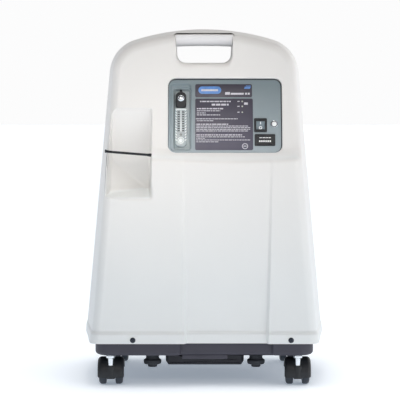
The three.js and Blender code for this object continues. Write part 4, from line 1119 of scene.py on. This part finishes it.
emblem = rectangle_loop((-11.0, 32.0), (121.6, 136.0), 7.1, 1.5)
header_prints = [
    painted(slab("emblem", emblem, FILM_W - 0.02, FILM_W + 0.05, 0.02, CONSOLE), "label_blue"),
    bars("label_print", [(-5.5, 26, 126.8, 130.4, 0)], FILM_W + 0.09),
    bars("label_print", [(39, 48, 119.9, 124.9, 0.6), (49.5, 74, 119.9, 123.4, 0.6),
                         (76.5, 80.3, 119.9, 123.6, 0.6), (81.6, 85.4, 119.9, 123.6, 0.6)], FILM_W + 0.05),
    bars("label_blue", [(75, 86, 131.4, 135.6, 1.6), (78, 87, 136.3, 137.6, 0.6)], FILM_W + 0.05),
]
film("header_label", HEADER, header_prints, "label_header")


def domed(radius, foot, rise):
    """Profile points of a shallow dome, from its foot up to its tip."""
    return [(radius * math.cos(a), foot + rise * math.sin(a)) for a in ALONG[1:-1]] + [(0, foot + rise)]


lens_foot = FILM_W + 0.1
lens = [(0, FACE_W - 2), (LIGHTS["radius"], FACE_W - 2), (LIGHTS["radius"], lens_foot)]
lens += domed(LIGHTS["radius"], lens_foot, 0.7)
lenses = [lathe("lens", lens, on_console(LIGHTS["u"], v), 32) for v in LIGHTS["v"]]
fitted(joined("status_lights", lenses), "indicator", "root", "indicator_light_pipe")


# ------------------------------------------------------------------ flowmeter

WELL_FLOOR = FACE_W - WELL["depth"] + 0.3
TUBE = {"u": -43.8, "v": (21.0, 95.0), "half": 11.4, "thick": 12.0}
VALVE = {"v": (95.3, 126.6), "half": 10.0, "thick": 11.0, "knob_v": 112.9}
FLOAT = {"v": 42.7, "radius": 3.2}
# Rows of printed marks, and of painted glints on each moulded ridge up both sides of the tube.
SCALE = {"v": 50.5, "pitch": 4.55, "count": 9, "half": 4.2}
GLINT_BARS = {"rise": 10, "pitch": 5.3, "count": 12, "half": 8.0, "lean": 1.9}


def flowmeter():
    """The clear block with a pale plug, its printed flow scale and painted highlights and shade: a glint down
    the middle where the bore is, one across the top and a glint on each moulded ridge up both sides.
    """
    middle, low, high = TUBE["u"], *TUBE["v"]
    front = WELL_FLOOR + TUBE["thick"]
    left, right = middle - TUBE["half"], middle + TUBE["half"]
    loop = rounded_loop([(right, low), (right, high), (left, high), (left, low)], [8.5, 3, 3, 8.5], 2.0)
    block = painted(slab("block", loop, WELL_FLOOR + 0.1, front, 1.2, CONSOLE, 0.6), "clear_acrylic")
    marks, ridge_glints, shades = [], [], []
    for i in range(SCALE["count"]):
        v = SCALE["v"] + i * SCALE["pitch"]
        for side in (-1, 1):
            edge = middle + side * SCALE["half"]
            marks.append((edge - 2.0, edge + 2.0, v - 1.1, v + 1.1, 0))
    # A painted glint on each moulded ridge, with a painted shade in grey just below it.
    for i in range(GLINT_BARS["count"]):
        v = low + GLINT_BARS["rise"] + i * GLINT_BARS["pitch"]
        for side in (-1, 1):
            edge, lean = middle + side * GLINT_BARS["half"], side * GLINT_BARS["lean"]
            ridge_glints.append((edge - 1.0, edge + 1.0, v, v + 3.4, lean))
            shades.append((edge - 0.7, edge + 0.7, v - 1.3, v - 0.2, lean))
    # Painted highlights: a glint down the middle where the bore is, and one across the top of the block.
    shine = [(middle - 0.8, middle + 0.8, 49, high - 4, 0)]
    shine += [(left + 2.5, right - 2.5, high - 4.2, high - 1.4, 0)]
    plug_place = (middle, low + 11)
    plug = slab("plug", circle_loop(3.8, 40, plug_place), front - 1, front + 0.6, 0.5, CONSOLE)
    return joined("flowmeter", [
        block,
        bars("black_plastic", marks, front + 0.06),
        bars("pale_clear_and_glint", ridge_glints, front + 0.05),
        bars("grey_plastic", shades, front + 0.05),
        bars("pale_clear_and_glint", shine, front + 0.04),
        ring_mark("pale_clear_and_glint", plug_place, 6.2, 5.0, front + 0.08),
        painted(plug, "pale_clear_and_glint"),
        ring_mark("black_plastic", (middle, low + 22), 2.0, 1.0, front + 0.07),
    ])


fitted(flowmeter(), None, "root", "flowmeter_block", slot="clear_acrylic")

bore_matrix = frame_of((1, 0, 0), (0, 0, -1), (0, 1, 0))          # local z runs up the tube
GROOVE = 0.93                                 # share of the float's radius left in the groove round it
ball = arc((0, 0), FLOAT["radius"], -math.pi / 2, math.pi / 2, 25)
ball = [(r * (GROOVE if abs(h) < 0.3 else 1.0) if r > 1e-3 else 0.0, h) for r, h in ball]
float_place = on_console(TUBE["u"], FLOAT["v"], WELL_FLOOR + TUBE["thick"] / 2) @ bore_matrix
fitted(lathe("float", ball, float_place, 40), "black_plastic", "float_ball", "float_ball")


VALVE_FRONT = WELL_FLOOR + VALVE["thick"]
knob_place = on_console(TUBE["u"], VALVE["knob_v"], VALVE_FRONT)


def valve_body():
    """The black body at the top of the tube, with a low collar round the knob's shaft."""
    half = VALVE["half"]
    loop = rectangle_loop((TUBE["u"] - half, TUBE["u"] + half), VALVE["v"], 7.5, 1.5)
    body = slab("valve", loop, WELL_FLOOR + 0.1, VALVE_FRONT, 2.0, CONSOLE, 0.5)
    collar = [(3.0, -1.0), (7.6, -1.0), (7.6, 0), (7.3, 0.2), (3.0, 0.2)]
    return joined("valve_body", [body, lathe("collar", collar, knob_place, 64)])


fitted(valve_body(), "black_plastic", "root", "flow_valve_body")

BARB = [(0, 0), (3.4, 0), (3.4, 0.8), (2.5, 1.6), (2.5, 2.4), (2.9, 2.6), (2.3, 4.2), (1.1, 5.4), (0.5, 5.7),
        (0, 5.8)]
barb_place = on_console(TUBE["u"], VALVE["v"][1] + 0.2, WELL_FLOOR + VALVE["thick"] / 2)
barb = lathe("outlet_barb", BARB, barb_place @ bore_matrix, 40)
fitted(barb, "black_plastic", "root", "oxygen_outlet_barb")


def knob():
    """A fluted metal knob with a domed cap."""
    flutes, flute_depth, count = 18, 0.32, 144
    angles = np.linspace(0, 2 * math.pi, count, endpoint=False)
    # Rows of (radius, height above the valve, share of the flutes' depth).
    rows = [(2.2, -3.5, 0), (2.2, 0.5, 0), (6.2, 0.5, 1), (6.6, 0.9, 1), (6.6, 3.8, 1), (6.3, 4.6, 0.6),
            (5.7, 5.3, 0), (4.6, 6.0, 0), (3.2, 6.5, 0), (1.6, 6.8, 0), (0.4, 6.85, 0)]
    rings = []
    for radius, high, share in rows:
        wavy = radius - share * flute_depth * (0.5 + 0.5 * np.cos(angles * flutes)) ** 3
        rings.append(np.column_stack([wavy * np.cos(angles), wavy * np.sin(angles), np.full(count, high)]))
    return surface("flow_control_knob", moved(np.vstack(rings), knob_place), skin(count, len(rows)))


fitted(knob(), "chrome", "flow_knob", "flow_knob")


# ------------------------------------------------------------------ switch, breaker and hour meter

SWITCH = {"u": 105.6, "v": 60.2, "width": 24.1, "height": 27.0, "open": 16.4, "proud": 2.2}
ROCKER_TILT = math.radians(9)
ROCKER_VEE = math.radians(9.6)                # slope of each half of its face
BREAKER = {"u": 131.3, "v": 62.5}
METER = {"u": 113.7, "v": 31.6, "width": 38.6, "height": 22.7}


def centred(dims, width, height, radius, step=1.2):
    u, v = dims["u"], dims["v"]
    return rectangle_loop((u - width / 2, u + width / 2), (v - height / 2, v + height / 2), radius, step)


def bezel():
    """A raised rim round a square hole, with a body that goes back through the panel."""
    top, half = FACE_W + SWITCH["proud"], SWITCH["open"] / 2
    outer, _ = centred(SWITCH, SWITCH["width"], SWITCH["height"], 2.0)
    middle = np.array([SWITCH["u"], SWITCH["v"]])
    inner = np.clip(outer - middle, -half, half) + middle
    rows = [(0, FACE_W + 0.05), (0, top - 0.7), (0.08, top - 0.2), (0.2, top), (0.8, top), (0.92, top - 0.2),
            (1, top - 0.8), (1, FACE_W - 9)]
    count = len(outer)
    rings = [np.column_stack([outer + (inner - outer) * share, np.full(count, high)]) for share, high in rows]
    faces = skin(count, len(rings), caps=(False, False))
    return surface("switch_frame", moved(np.vstack(rings), CONSOLE), faces)


def rocker():
    """A shallow V in section, with a printed line on its upper half and a ring on its lower one."""
    half, width = SWITCH["open"] / 2 - 0.8, SWITCH["open"] - 1.0
    outline = [(-half, -1.5), (-half * 0.4, -6), (half * 0.4, -6), (half, -1.5), (half, 2.3),
               (half - 0.4, 2.7), (2.5, 1.75), (0, 1.5), (-2.5, 1.75), (-half + 0.4, 2.7), (-half, 2.3)]
    to_section = frame_of((0, 1, 0), (0, 0, 1), (1, 0, 0))
    pivot = on_console(SWITCH["u"], SWITCH["v"], FACE_W - 0.6) @ Matrix.Rotation(ROCKER_TILT, 4, "X")
    rows = edge_rows(-width / 2, width / 2, 0.5, 0.5)
    body = painted(stack("body", drawn_loop(outline, 1.0), rows, pivot @ to_section), "grey_plastic")
    lower, upper = (
        pivot @ Matrix.Translation((0, sign * 4.4, 2.36)) @ Matrix.Rotation(sign * ROCKER_VEE, 4, "X")
        for sign in (-1, 1))
    line = bars("white_print", [(-0.9, 0.9, -2.5, 2.5, 0)], 0.06, upper)
    ring = ring_mark("white_print", (0, 0), 3.1, 1.7, 0.08, lower)
    return joined("rocker", [body, line, ring])


fitted(bezel(), "black_plastic", "root", "switch_bezel")
fitted(rocker(), None, "switch_rocker", "switch_rocker", slot="grey_plastic")

NUT = [(6.1, 0.05), (7.1, 0.05), (7.1, 1.1), (6.9, 1.6), (6.5, 1.8), (6.1, 1.4), (6.1, 0.05)]
BUSH = [(4.3, -8), (5.9, -8), (6.0, 0.3), (5.9, 0.6), (5.0, 0.7), (4.3, 0.4), (4.3, -8)]
BUTTON = [(0, -9), (4.0, -9), (4.0, 1.2), (4.7, 1.6), (4.7, 2.6)] + domed(4.7, 2.6, 2.1)
breaker_place = on_console(BREAKER["u"], BREAKER["v"], FACE_W)
breaker = joined("breaker_ring", [
    painted(lathe("nut", NUT, breaker_place), "chrome"),
    painted(lathe("bush", BUSH, breaker_place), "rubber"),
])
fitted(breaker, None, "root", "breaker_collar", slot="chrome")
fitted(lathe("breaker_cap", BUTTON, breaker_place), "button_plastic", "breaker_button", "breaker_button",
       slot="cabinet_plastic")


def hour_meter():
    """A black case with a sunk window and rows of small pale marks."""
    top = FACE_W + 1.7
    rows = [(0, FACE_W + 0.05), (0, top - 0.5), (0.15, top - 0.15), (0.5, top), (1.8, top), (2.1, top - 0.1),
            (2.3, top - 0.5)]
    outline = centred(METER, METER["width"], METER["height"], 1.8)
    case = painted(stack("case", outline, rows, CONSOLE), "black_plastic")
    u, v, face = METER["u"], METER["v"], top - 0.44
    marks = broken_line(np.random.RandomState(3), v + 4.4, 1.5, u - 10.5, u + 11)
    marks += [(u - 11 + i * 3.9, u - 8.3 + i * 3.9, v - 3.9, v - 0.7, 0) for i in range(6)]
    return joined("hour_counter", [case, bars("white_print", marks, face)])


fitted(hour_meter(), None, "root", "hour_meter", slot="black_plastic")


# ------------------------------------------------------------------ bottle strap

STRAP = {"z": 437.0, "tilt": math.radians(4.6), "height": 4.5, "thick": 1.4, "gap": 2.4, "right": -97.0,
         "pivot": -140.0}


def strap_path(gap):
    """Round the left edge of the cabinet, then straight across the mouth of the pocket."""
    depth = float(console_depth(STRAP["z"]))
    draft = (depth - EDGE_RADIUS) * math.tan(SIDE_DRAFT)
    centre = -(seam_half_width(STRAP["z"]) - draft - EDGE_RADIUS), -(depth - EDGE_RADIUS)
    bend = arc(centre, EDGE_RADIUS + gap, math.pi + math.radians(8), math.pi * 1.5, 16)
    across = np.linspace(bend[-1], (STRAP["right"], bend[-1][1]), 30)
    return np.vstack([bend, across[1:]])


def strap():
    """A flat band with rounded edges and thicker stitched ends."""
    inner, outer = strap_path(STRAP["gap"]), strap_path(STRAP["gap"] + STRAP["thick"])
    middle, half_thick = (inner + outer) / 2, (outer - inner) / 2
    count = 20
    turns = np.linspace(0, 2 * math.pi, count, endpoint=False)
    outs, ups = np.cos(turns), np.sin(turns)
    section = np.column_stack([np.sign(outs) * abs(outs) ** 0.5, np.sign(ups) * abs(ups) ** 0.35])
    lengths = np.concatenate([[0], np.cumsum(np.linalg.norm(np.diff(middle, axis=0), axis=1))])
    points = []
    for place, thick, length in zip(middle, half_thick, lengths):
        end = min(length, lengths[-1] - length)
        swell = 1 + 0.35 * (1 - blend_step(end, 5, 9))
        tip = math.sqrt(max(0.02, 1 - (1 - min(end / 1.5, 1)) ** 2))
        for out, up in section:
            x, y = place + thick * out * swell * tip
            points.append((x, y, up * STRAP["height"] / 2 * swell * tip))
    place = Matrix.Translation((STRAP["pivot"], 0, STRAP["z"])) @ Matrix.Rotation(STRAP["tilt"], 4, "Y")
    place = place @ Matrix.Translation((-STRAP["pivot"], 0, 0))
    return surface("strap", moved(points, place), skin(count, len(middle), flipped=True))


fitted(strap(), "webbing", "root", "bottle_strap")


# ------------------------------------------------------------------ base, duct and rubber feet

BASE = {"foot": 59.0, "rim": 82.7, "half_width": 205.0, "half_depth": 172.0, "corner": 30.0, "wall": 3.6,
        "floor": 4.0}
BASE_STEP = {"left": -44.0, "right": 127.0, "depth": 6.0, "run": 2.5}
LIP = {"x": (-42.0, 44.0), "y": (-163.0, -140.0), "z": (52.0, 58.7)}
DUCT = {"x": (-73.0, 75.0), "y": (-128.0, 70.0), "z": (35.0, 58.7), "wall": 3.0}
FEET = {"x": 98.0, "front": -120.0, "rear": 112.0}
UPRIGHT = Matrix.Identity(4)


def base_outline():
    """Seen from above: a rounded rectangle, set back along part of its front edge."""
    half_x, half_y, r = BASE["half_width"], BASE["half_depth"], BASE["corner"]
    x, y = half_x - r, half_y - r
    quarter = math.pi / 2
    left, right, depth, run = (BASE_STEP[key] for key in ("left", "right", "depth", "run"))
    front = [(left - run, -half_y), (left, -half_y + depth * 0.5), (left + run * 0.5, -half_y + depth),
             (right - run * 0.5, -half_y + depth), (right, -half_y + depth * 0.5), (right + run, -half_y)]
    return np.vstack([
        front, arc((x, -y), r, -quarter, 0, 14), arc((x, y), r, 0, quarter, 14),
        arc((-x, y), r, quarter, 2 * quarter, 14), arc((-x, -y), r, 2 * quarter, 3 * quarter, 14),
    ])


def tray():
    """An open tray, with a low lip under its front edge."""
    low, high, wall, edge = BASE["foot"], BASE["rim"], BASE["wall"], 7.0
    under = [(edge * (1 - math.sin(a)), low + edge * (1 - math.cos(a))) for a in ALONG]
    rows = [(12, low), *under, (0, high - 0.6), (0.5, high), (wall, high), (wall, low + 9),
            (wall + 4, low + BASE["floor"])]
    body = stack("tray", drawn_loop(base_outline(), 6.0), rows, UPRIGHT)
    foot, top = LIP["z"]
    lip = slab("lip", rectangle_loop(LIP["x"], LIP["y"], 3.0), foot, top + 1, 0.3, UPRIGHT, 2.0)
    return joined("base", [body, lip])


def duct():
    """A flat box, open at the back, with its lower edges cut off."""
    low, high, wall = *DUCT["z"], DUCT["wall"]
    left, right = -DUCT["x"][1], -DUCT["x"][0]
    section = [(left + 5, low), (right - 5, low), (right, low + 8), (right, high), (left, high)]
    section.append((left, low + 8))
    loop = rounded_loop(section, [2.5, 2.5, 4, 1.5, 1.5, 4], 3.0)
    front, rear = DUCT["y"]
    rows = [(5, front), (1.2, front + 3.5), (0, front + 7), (0, rear - 0.8), (0.6, rear), (wall, rear),
            (wall, front + 10)]
    return stack("duct", loop, rows, frame_of((-1, 0, 0), (0, 0, 1), (0, 1, 0)))


fitted(tray(), "base_plastic", "root", "base_tray")
fitted(duct(), "duct_plastic", "root", "exhaust_duct")

RUBBER_FOOT = [
    (0, 31.0), (7.2, 31.0), (8.2, 31.4), (8.8, 32.4), (8.8, 36.0), (9.6, 36.6), (14.6, 36.6),
    (15.8, 37.2), (16.6, 39.0), (17.0, 43.0), (16.8, 44.4), (16.0, 45.0), (13.2, 46.8), (12.2, 49.5),
    (12.8, 53.5), (13.4, 58.6), (0, 58.6),
]


def corner_places(dims):
    """A tag and an upright matrix for each of four pieces under the base."""
    for end in ("front", "rear"):
        for side, sign in (("left", -1), ("right", 1)):
            yield f"{end}_{side}", Matrix.Translation((sign * dims["x"], dims[end], 0))


for tag, place in corner_places(FEET):
    fitted(lathe(f"foot_{tag}", RUBBER_FOOT, place), "rubber", "root", f"isolator_{tag}")


# ------------------------------------------------------------------ casters

CASTER = {"x": 176.0, "front": -150.0, "rear": 128.0, "trail": 20.0, "axle_z": 24.0}
STEM = [(0, 20.4), (4.6, 20.4), (5.3, 21.2), (5.3, 51.5), (6.2, 52.2), (8.4, 52.6), (8.4, 56.6), (7.6, 57.4),
        (7.6, 58.6), (0, 58.6)]
BOSS = [(5.7, 20.0), (7.9, 14.6), (9.0, 16.0), (9.4, 35.0), (9.0, 37.2), (8.2, 38.0), (6.6, 38.0),
        (5.7, 37.2), (5.7, 20.0)]
AXLE = [(0, -9), (3, -9), (3, 9), (0, 9)]
# Section of the right wheel, as (distance from the middle of the caster, radius).
WHEEL_SIDE = [(8.6, 0.0), (8.6, 21.0), (8.9, 22.8), (10.2, 23.7), (12.5, 24.0), (17.0, 24.0), (19.6, 23.4),
              (21.4, 21.8), (22.3, 19.4), (22.5, 17.6), (21.2, 17.0), (21.0, 15.0), (21.6, 9.0), (22.6, 7.6),
              (22.8, 5.0), (22.8, 0.0)]
ALONG_AXLE = frame_of((0, 0, -1), (0, 1, 0), (1, 0, 0))           # local z runs to the right


def wheels(tag, place):
    """Twin wheels on one axle."""
    right = lathe("wheel", [(radius, x) for x, radius in WHEEL_SIDE], place @ ALONG_AXLE, 80)
    left = lathe("wheel", [(radius, -x) for x, radius in reversed(WHEEL_SIDE)], place @ ALONG_AXLE, 80)
    return joined(f"wheels_{tag}", [right, left, lathe("axle", AXLE, place @ ALONG_AXLE, 32)])


def hood_skin():
    """Section of the hood over both wheels, as (x, distance from the axle), anticlockwise."""
    outer = [(17.0 + 8.0 * math.sin(a), 20.0 + 8.0 * math.cos(a)) for a in np.linspace(0, math.pi / 2, 9)]
    inner = [(17.6 + 5.6 * math.sin(a), 19.8 + 5.6 * math.cos(a)) for a in ALONG]
    right = outer + [(25.0, 17.5), (24.4, 16.8), (23.4, 17.2)] + inner[::-1]
    left = [(-x, radius) for x, radius in right][::-1]
    return (right + left)[::-1]


def hood(tag, place):
    """A curved cover, with a web between the wheels and a boss for the stem."""
    section = hood_skin()
    angles = np.linspace(math.radians(-20), math.radians(160), 49)
    points = []
    for angle in angles:
        end = min(angle - angles[0], angles[-1] - angle)
        thin = 0.8 * (1 - math.sqrt(1 - (1 - min(end / 0.06, 1)) ** 2))
        for x, radius in section:
            r = radius - thin * (radius > 26)
            points.append((x, -r * math.cos(angle), r * math.sin(angle)))
    cover = surface("cover", moved(points, place), skin(len(section), len(angles), flipped=True))
    to_side = frame_of((0, 1, 0), (0, 0, 1), (1, 0, 0))
    web_top = [(26.8 * math.cos(a), 26.8 * math.sin(a)) for a in np.linspace(0, math.pi * 0.92, 20)]
    web_outline = web_top + [(-26.0, -9.5), (-22, -12), (8, -13)]
    web = stack("web", drawn_loop(web_outline, 3.0), edge_rows(-7.6, 7.6, 1.0, 1.0), place @ to_side)
    boss_place = place @ Matrix.Translation((0, -CASTER["trail"], -CASTER["axle_z"]))
    return joined(f"hood_{tag}", [cover, web, lathe("boss", BOSS, boss_place, 64)])


for tag, pivot in corner_places(CASTER):
    axle_place = pivot @ Matrix.Translation((0, CASTER["trail"], CASTER["axle_z"]))
    fitted(lathe(f"stem_{tag}", STEM, pivot, 64), "chrome", "root", f"caster_stem_{tag}")
    fitted(hood(tag, axle_place), "black_plastic", f"caster_hood_{tag}", f"caster_hood_{tag}")
    fitted(wheels(tag, axle_place), "wheel_tread", f"caster_wheels_{tag}", f"caster_wheels_{tag}")


# ------------------------------------------------------------------ screws, gland and filter

SCREW_Z = 90.0
SCREW_X = {"front_left": -133.4, "front_right": 161.8, "rear_left": -150.0, "rear_right": 150.0}
SCREW_DEPTH = FRONT_FOOT_DEPTH + SKIRT_PROUD + 0.4
SCREW_HEAD = [(0, -0.6), (5.2, -0.6), (5.2, 0.5), (4.8, 1.3), (3.8, 2.1), (2.6, 2.5), (2.2, 2.3),
              (2.2, 1.0), (0, 0.8)]

for tag, x in SCREW_X.items():
    facing = -1 if tag.startswith("front") else 1
    place = leaning(facing, 0.0, (x, facing * SCREW_DEPTH, SCREW_Z))
    fitted(lathe(f"screw_{tag}", SCREW_HEAD, place, 48), "screw_black", "root", f"cabinet_screw_{tag}")

GLAND_PROFILE = [
    (3.5, -16), (7.6, -16), (8.0, -15), (8.0, 1.0), (13.0, 1.0), (13.2, 1.6), (13.0, 2.8), (12.2, 3.4),
    (10.6, 3.6), (10.0, 4.2), (8.6, 7.4), (7.8, 7.6), (7.8, 8.8), (7.0, 9.0), (7.0, 10.2), (6.2, 10.4),
    (5.4, 11.4), (3.9, 11.6), (3.5, 11.2), (3.5, -16),
]
gland_place = rear_matrix(GLAND["z"]) @ Matrix.Translation((-GLAND["x"], 0, 0))
fitted(lathe("cord_gland", GLAND_PROFILE, gland_place), "black_plastic", "root", "power_cord_gland")


def filter_grille():
    """A rounded frame with three bars across and a post, standing a little proud of the rear face."""
    place, bar, front = rear_matrix(FILTER["z"]), FILTER["bar"], FILTER["proud"]
    rim = [(0, 0.35), (0, front - 0.9), (0.3, front - 0.25), (1.0, front), (10.5, front), (11.6, front - 0.4),
           (12.6, front - 1.6), (12.6, front - 7), (4.6, front - 7), (4.6, 0.35), (0, 0.35)]
    pieces = [stack("rim", filter_loop(3.5, 12), rim, place, caps=(False, False))]
    half_width, half_height = FILTER["width"] / 2 - bar, FILTER["height"] / 2 - bar
    for rise in FILTER["rib_rise"]:
        loop = rectangle_loop((-half_width - 1, half_width + 1), (rise - 1.7, rise + 1.7), 0.4)
        pieces.append(slab("rib", loop, -1.4, front - 0.6, 0.6, place, 0.3))
    loop = rectangle_loop((-1.7, 1.7), (-half_height - 1, half_height + 1), 0.4)
    pieces.append(slab("post", loop, -1.2, front - 0.8, 0.6, place, 0.3))
    return joined("filter_grille", pieces)


fitted(filter_grille(), "black_plastic", "filter_frame", "filter_frame")
pad_front = FILTER["proud"] - 7.4
filter_pad = slab("filter_pad", filter_loop(-4, 6), -18, pad_front, 1.5, rear_matrix(FILTER["z"]), 1.5)
fitted(filter_pad, "foam", "filter_frame", "filter_foam")


# ------------------------------------------------------------------ working parts inside the cabinet

INSIDE = {
    "aluminium": ("compressor_motor", "compressor_head_left", "compressor_head_right", "sieve_bed_left",
                  "sieve_bed_right", "product_tank", "valve_manifold"),
    "black_plastic": ("cooling_fan_shroud", "cooling_fan_rotor", "intake_silencer"),
    "steel": ("compressor_shaft",),
    "copper": ("heat_exchanger_coil",),
    "circuit": ("circuit_board",),
}
for material, names in INSIDE.items():
    for name in names:
        painted(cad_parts[name], material)


# ------------------------------------------------------------------ floor, light and camera

FLOOR_HALF = 14000.0
PALE = (0.974, 0.974, 0.976)                  # what the camera sees of the world
WARM = (1.0, 0.95, 0.89)
WHITE = (1.0, 1.0, 1.0)

# Name, place, target, size, power in watts, spread in degrees and colour of each lamp, in metres.
LAMPS = [
    ("key", (1.6, -1.5, 0.5), (0, 0, 0.42), (0.9, 0.9), 4.2, 180, WHITE),
    ("front", (-0.15, -2.1, 1.45), (-0.03, -0.15, 0.47), (0.5, 0.5), 0.27, 26, WARM),
    ("overhead", (0, -0.35, 2.3), (0, -0.1, 0.4), (0.5, 0.5), 0.10, 28, WARM),
    ("left_edge", (-1.2, -0.7, 1.5), (-0.18, -0.05, 0.50), (0.3, 0.3), 0.045, 22, WHITE),
    ("pocket_light", (0.5, -1.0, 1.15), (-0.14, -0.13, 0.43), (0.15, 0.15), 0.028, 26, WARM),
    ("pocket_fill", (-0.45, -0.9, 0.9), (-0.12, -0.12, 0.40), (0.12, 0.12), 0.006, 22, WARM),
]

# Light from the world along each axis, as (direction from -1 to 1, colour).
SIDEWAYS = [(-1.0, (0.48, 0.50, 0.53)), (-0.3, (0.78, 0.80, 0.82)), (-0.1, (1, 1, 1)), (0.05, (1, 1, 1)),
            (0.25, (1.26, 1.26, 1.25)), (1.0, (1.35, 1.35, 1.34))]
DEPTHWISE = [(-1.0, (0.44, 0.435, 0.435)), (-0.3, (0.56, 0.555, 0.555)), (0.4, PALE), (1.0, PALE)]
UPWARDS = [(-1.0, (1, 1, 1)), (0.15, (1, 1, 1)), (0.6, (0.6, 0.6, 0.61)), (1.0, (0.4, 0.4, 0.41))]


def floor():
    """A pale floor that reaches far past the view."""
    finish = Finish("floor_paper", (250, 251, 252), 0.85).mottle(0.004, 900).rough(0.03, 300).grain(2.0, 0.01)
    finish.set(emission_color=(0.71, 0.84, 1.0, 1.0), emission_strength=0.30)
    corners = [(x * FLOOR_HALF, y * FLOOR_HALF, 0) for x, y in ((-1, -1), (1, -1), (1, 1), (-1, 1))]
    ground = surface("floor", corners, [(0, 1, 2, 3)])
    ground.data.materials.append(finish.done())
    return ground


def ramped(tree, value, stops):
    """A colour ramp over a value that runs from -1 to 1."""
    ramp = add_node(tree, "ValToRGB", fac=ranged(tree, value, 0.0, 1.0, -1.0, 1.0))
    while len(ramp.color_ramp.elements) < len(stops):
        ramp.color_ramp.elements.new(0.5)
    for element, (at, color) in zip(ramp.color_ramp.elements, stops):
        element.position = (at + 1) / 2
        element.color = (*color, 1.0)
    return ramp.outputs["Color"]


def sky():
    """A studio cove: white behind the machine, dimmer in front, overhead and on the left."""
    world = bpy.data.worlds.new("studio")
    bpy.context.scene.world = world
    world.use_nodes = True
    tree = world.node_tree
    tree.nodes.clear()
    split = add_node(tree, "SeparateXYZ", vector=add_node(tree, "TexCoord").outputs["Generated"])
    product = ramped(tree, split.outputs["X"], SIDEWAYS)
    for axis, stops in (("Y", DEPTHWISE), ("Z", UPWARDS)):
        product = times(tree, "VectorMath", product, ramped(tree, split.outputs[axis], stops))
    by_camera = add_node(tree, "LightPath").outputs["Is Camera Ray"]
    background = add_node(tree, "Background", color=mixed(tree, by_camera, product, (*PALE, 1.0)))
    add_node(tree, "OutputWorld", surface=background.outputs["Background"])


def add_lamp(name, kind, power):
    light = bpy.data.lights.new(name, kind)
    light.energy = power
    lamp = bpy.data.objects.new(name, light)
    bpy.context.scene.collection.objects.link(lamp)
    return lamp


def softbox(name, place, target, size, power, spread, color):
    lamp = add_lamp(name, "AREA", power)
    lamp.data.shape = "RECTANGLE"
    lamp.data.size, lamp.data.size_y = size
    lamp.data.spread = math.radians(spread)
    lamp.data.color = color
    lamp.location = place
    lamp.rotation_euler = (Vector(target) - Vector(place)).to_track_quat("-Z", "Y").to_euler()
    lamp.visible_camera = False


def floor_sun(ground):
    """A wide sun that only the floor receives, which keeps it even up to the horizon."""
    sun = add_lamp("floor_sun", "SUN", 1.4)
    sun.data.angle = math.radians(70)
    sun.rotation_euler = (math.radians(12), 0, 0)
    only_floor = bpy.data.collections.new("floor_only")
    only_floor.objects.link(ground)
    sun.light_linking.receiver_collection = only_floor


def camera():
    """A long lens a little below the top of the cabinet, tipped slightly down."""
    lens = bpy.data.cameras.new("camera")
    lens.sensor_width = 36
    lens.lens = 175.3
    lens.clip_end = 60
    eye = bpy.data.objects.new("camera", lens)
    eye.location = (-0.008, -3.782, 0.616)
    eye.rotation_euler = (math.radians(90 - 4.19), 0, 0)
    bpy.context.scene.collection.objects.link(eye)
    bpy.context.scene.camera = eye


ground = floor()
sky()
for lamp in LAMPS:
    softbox(*lamp)
floor_sun(ground)
camera()
bpy.context.scene.view_settings.view_transform = "Standard"
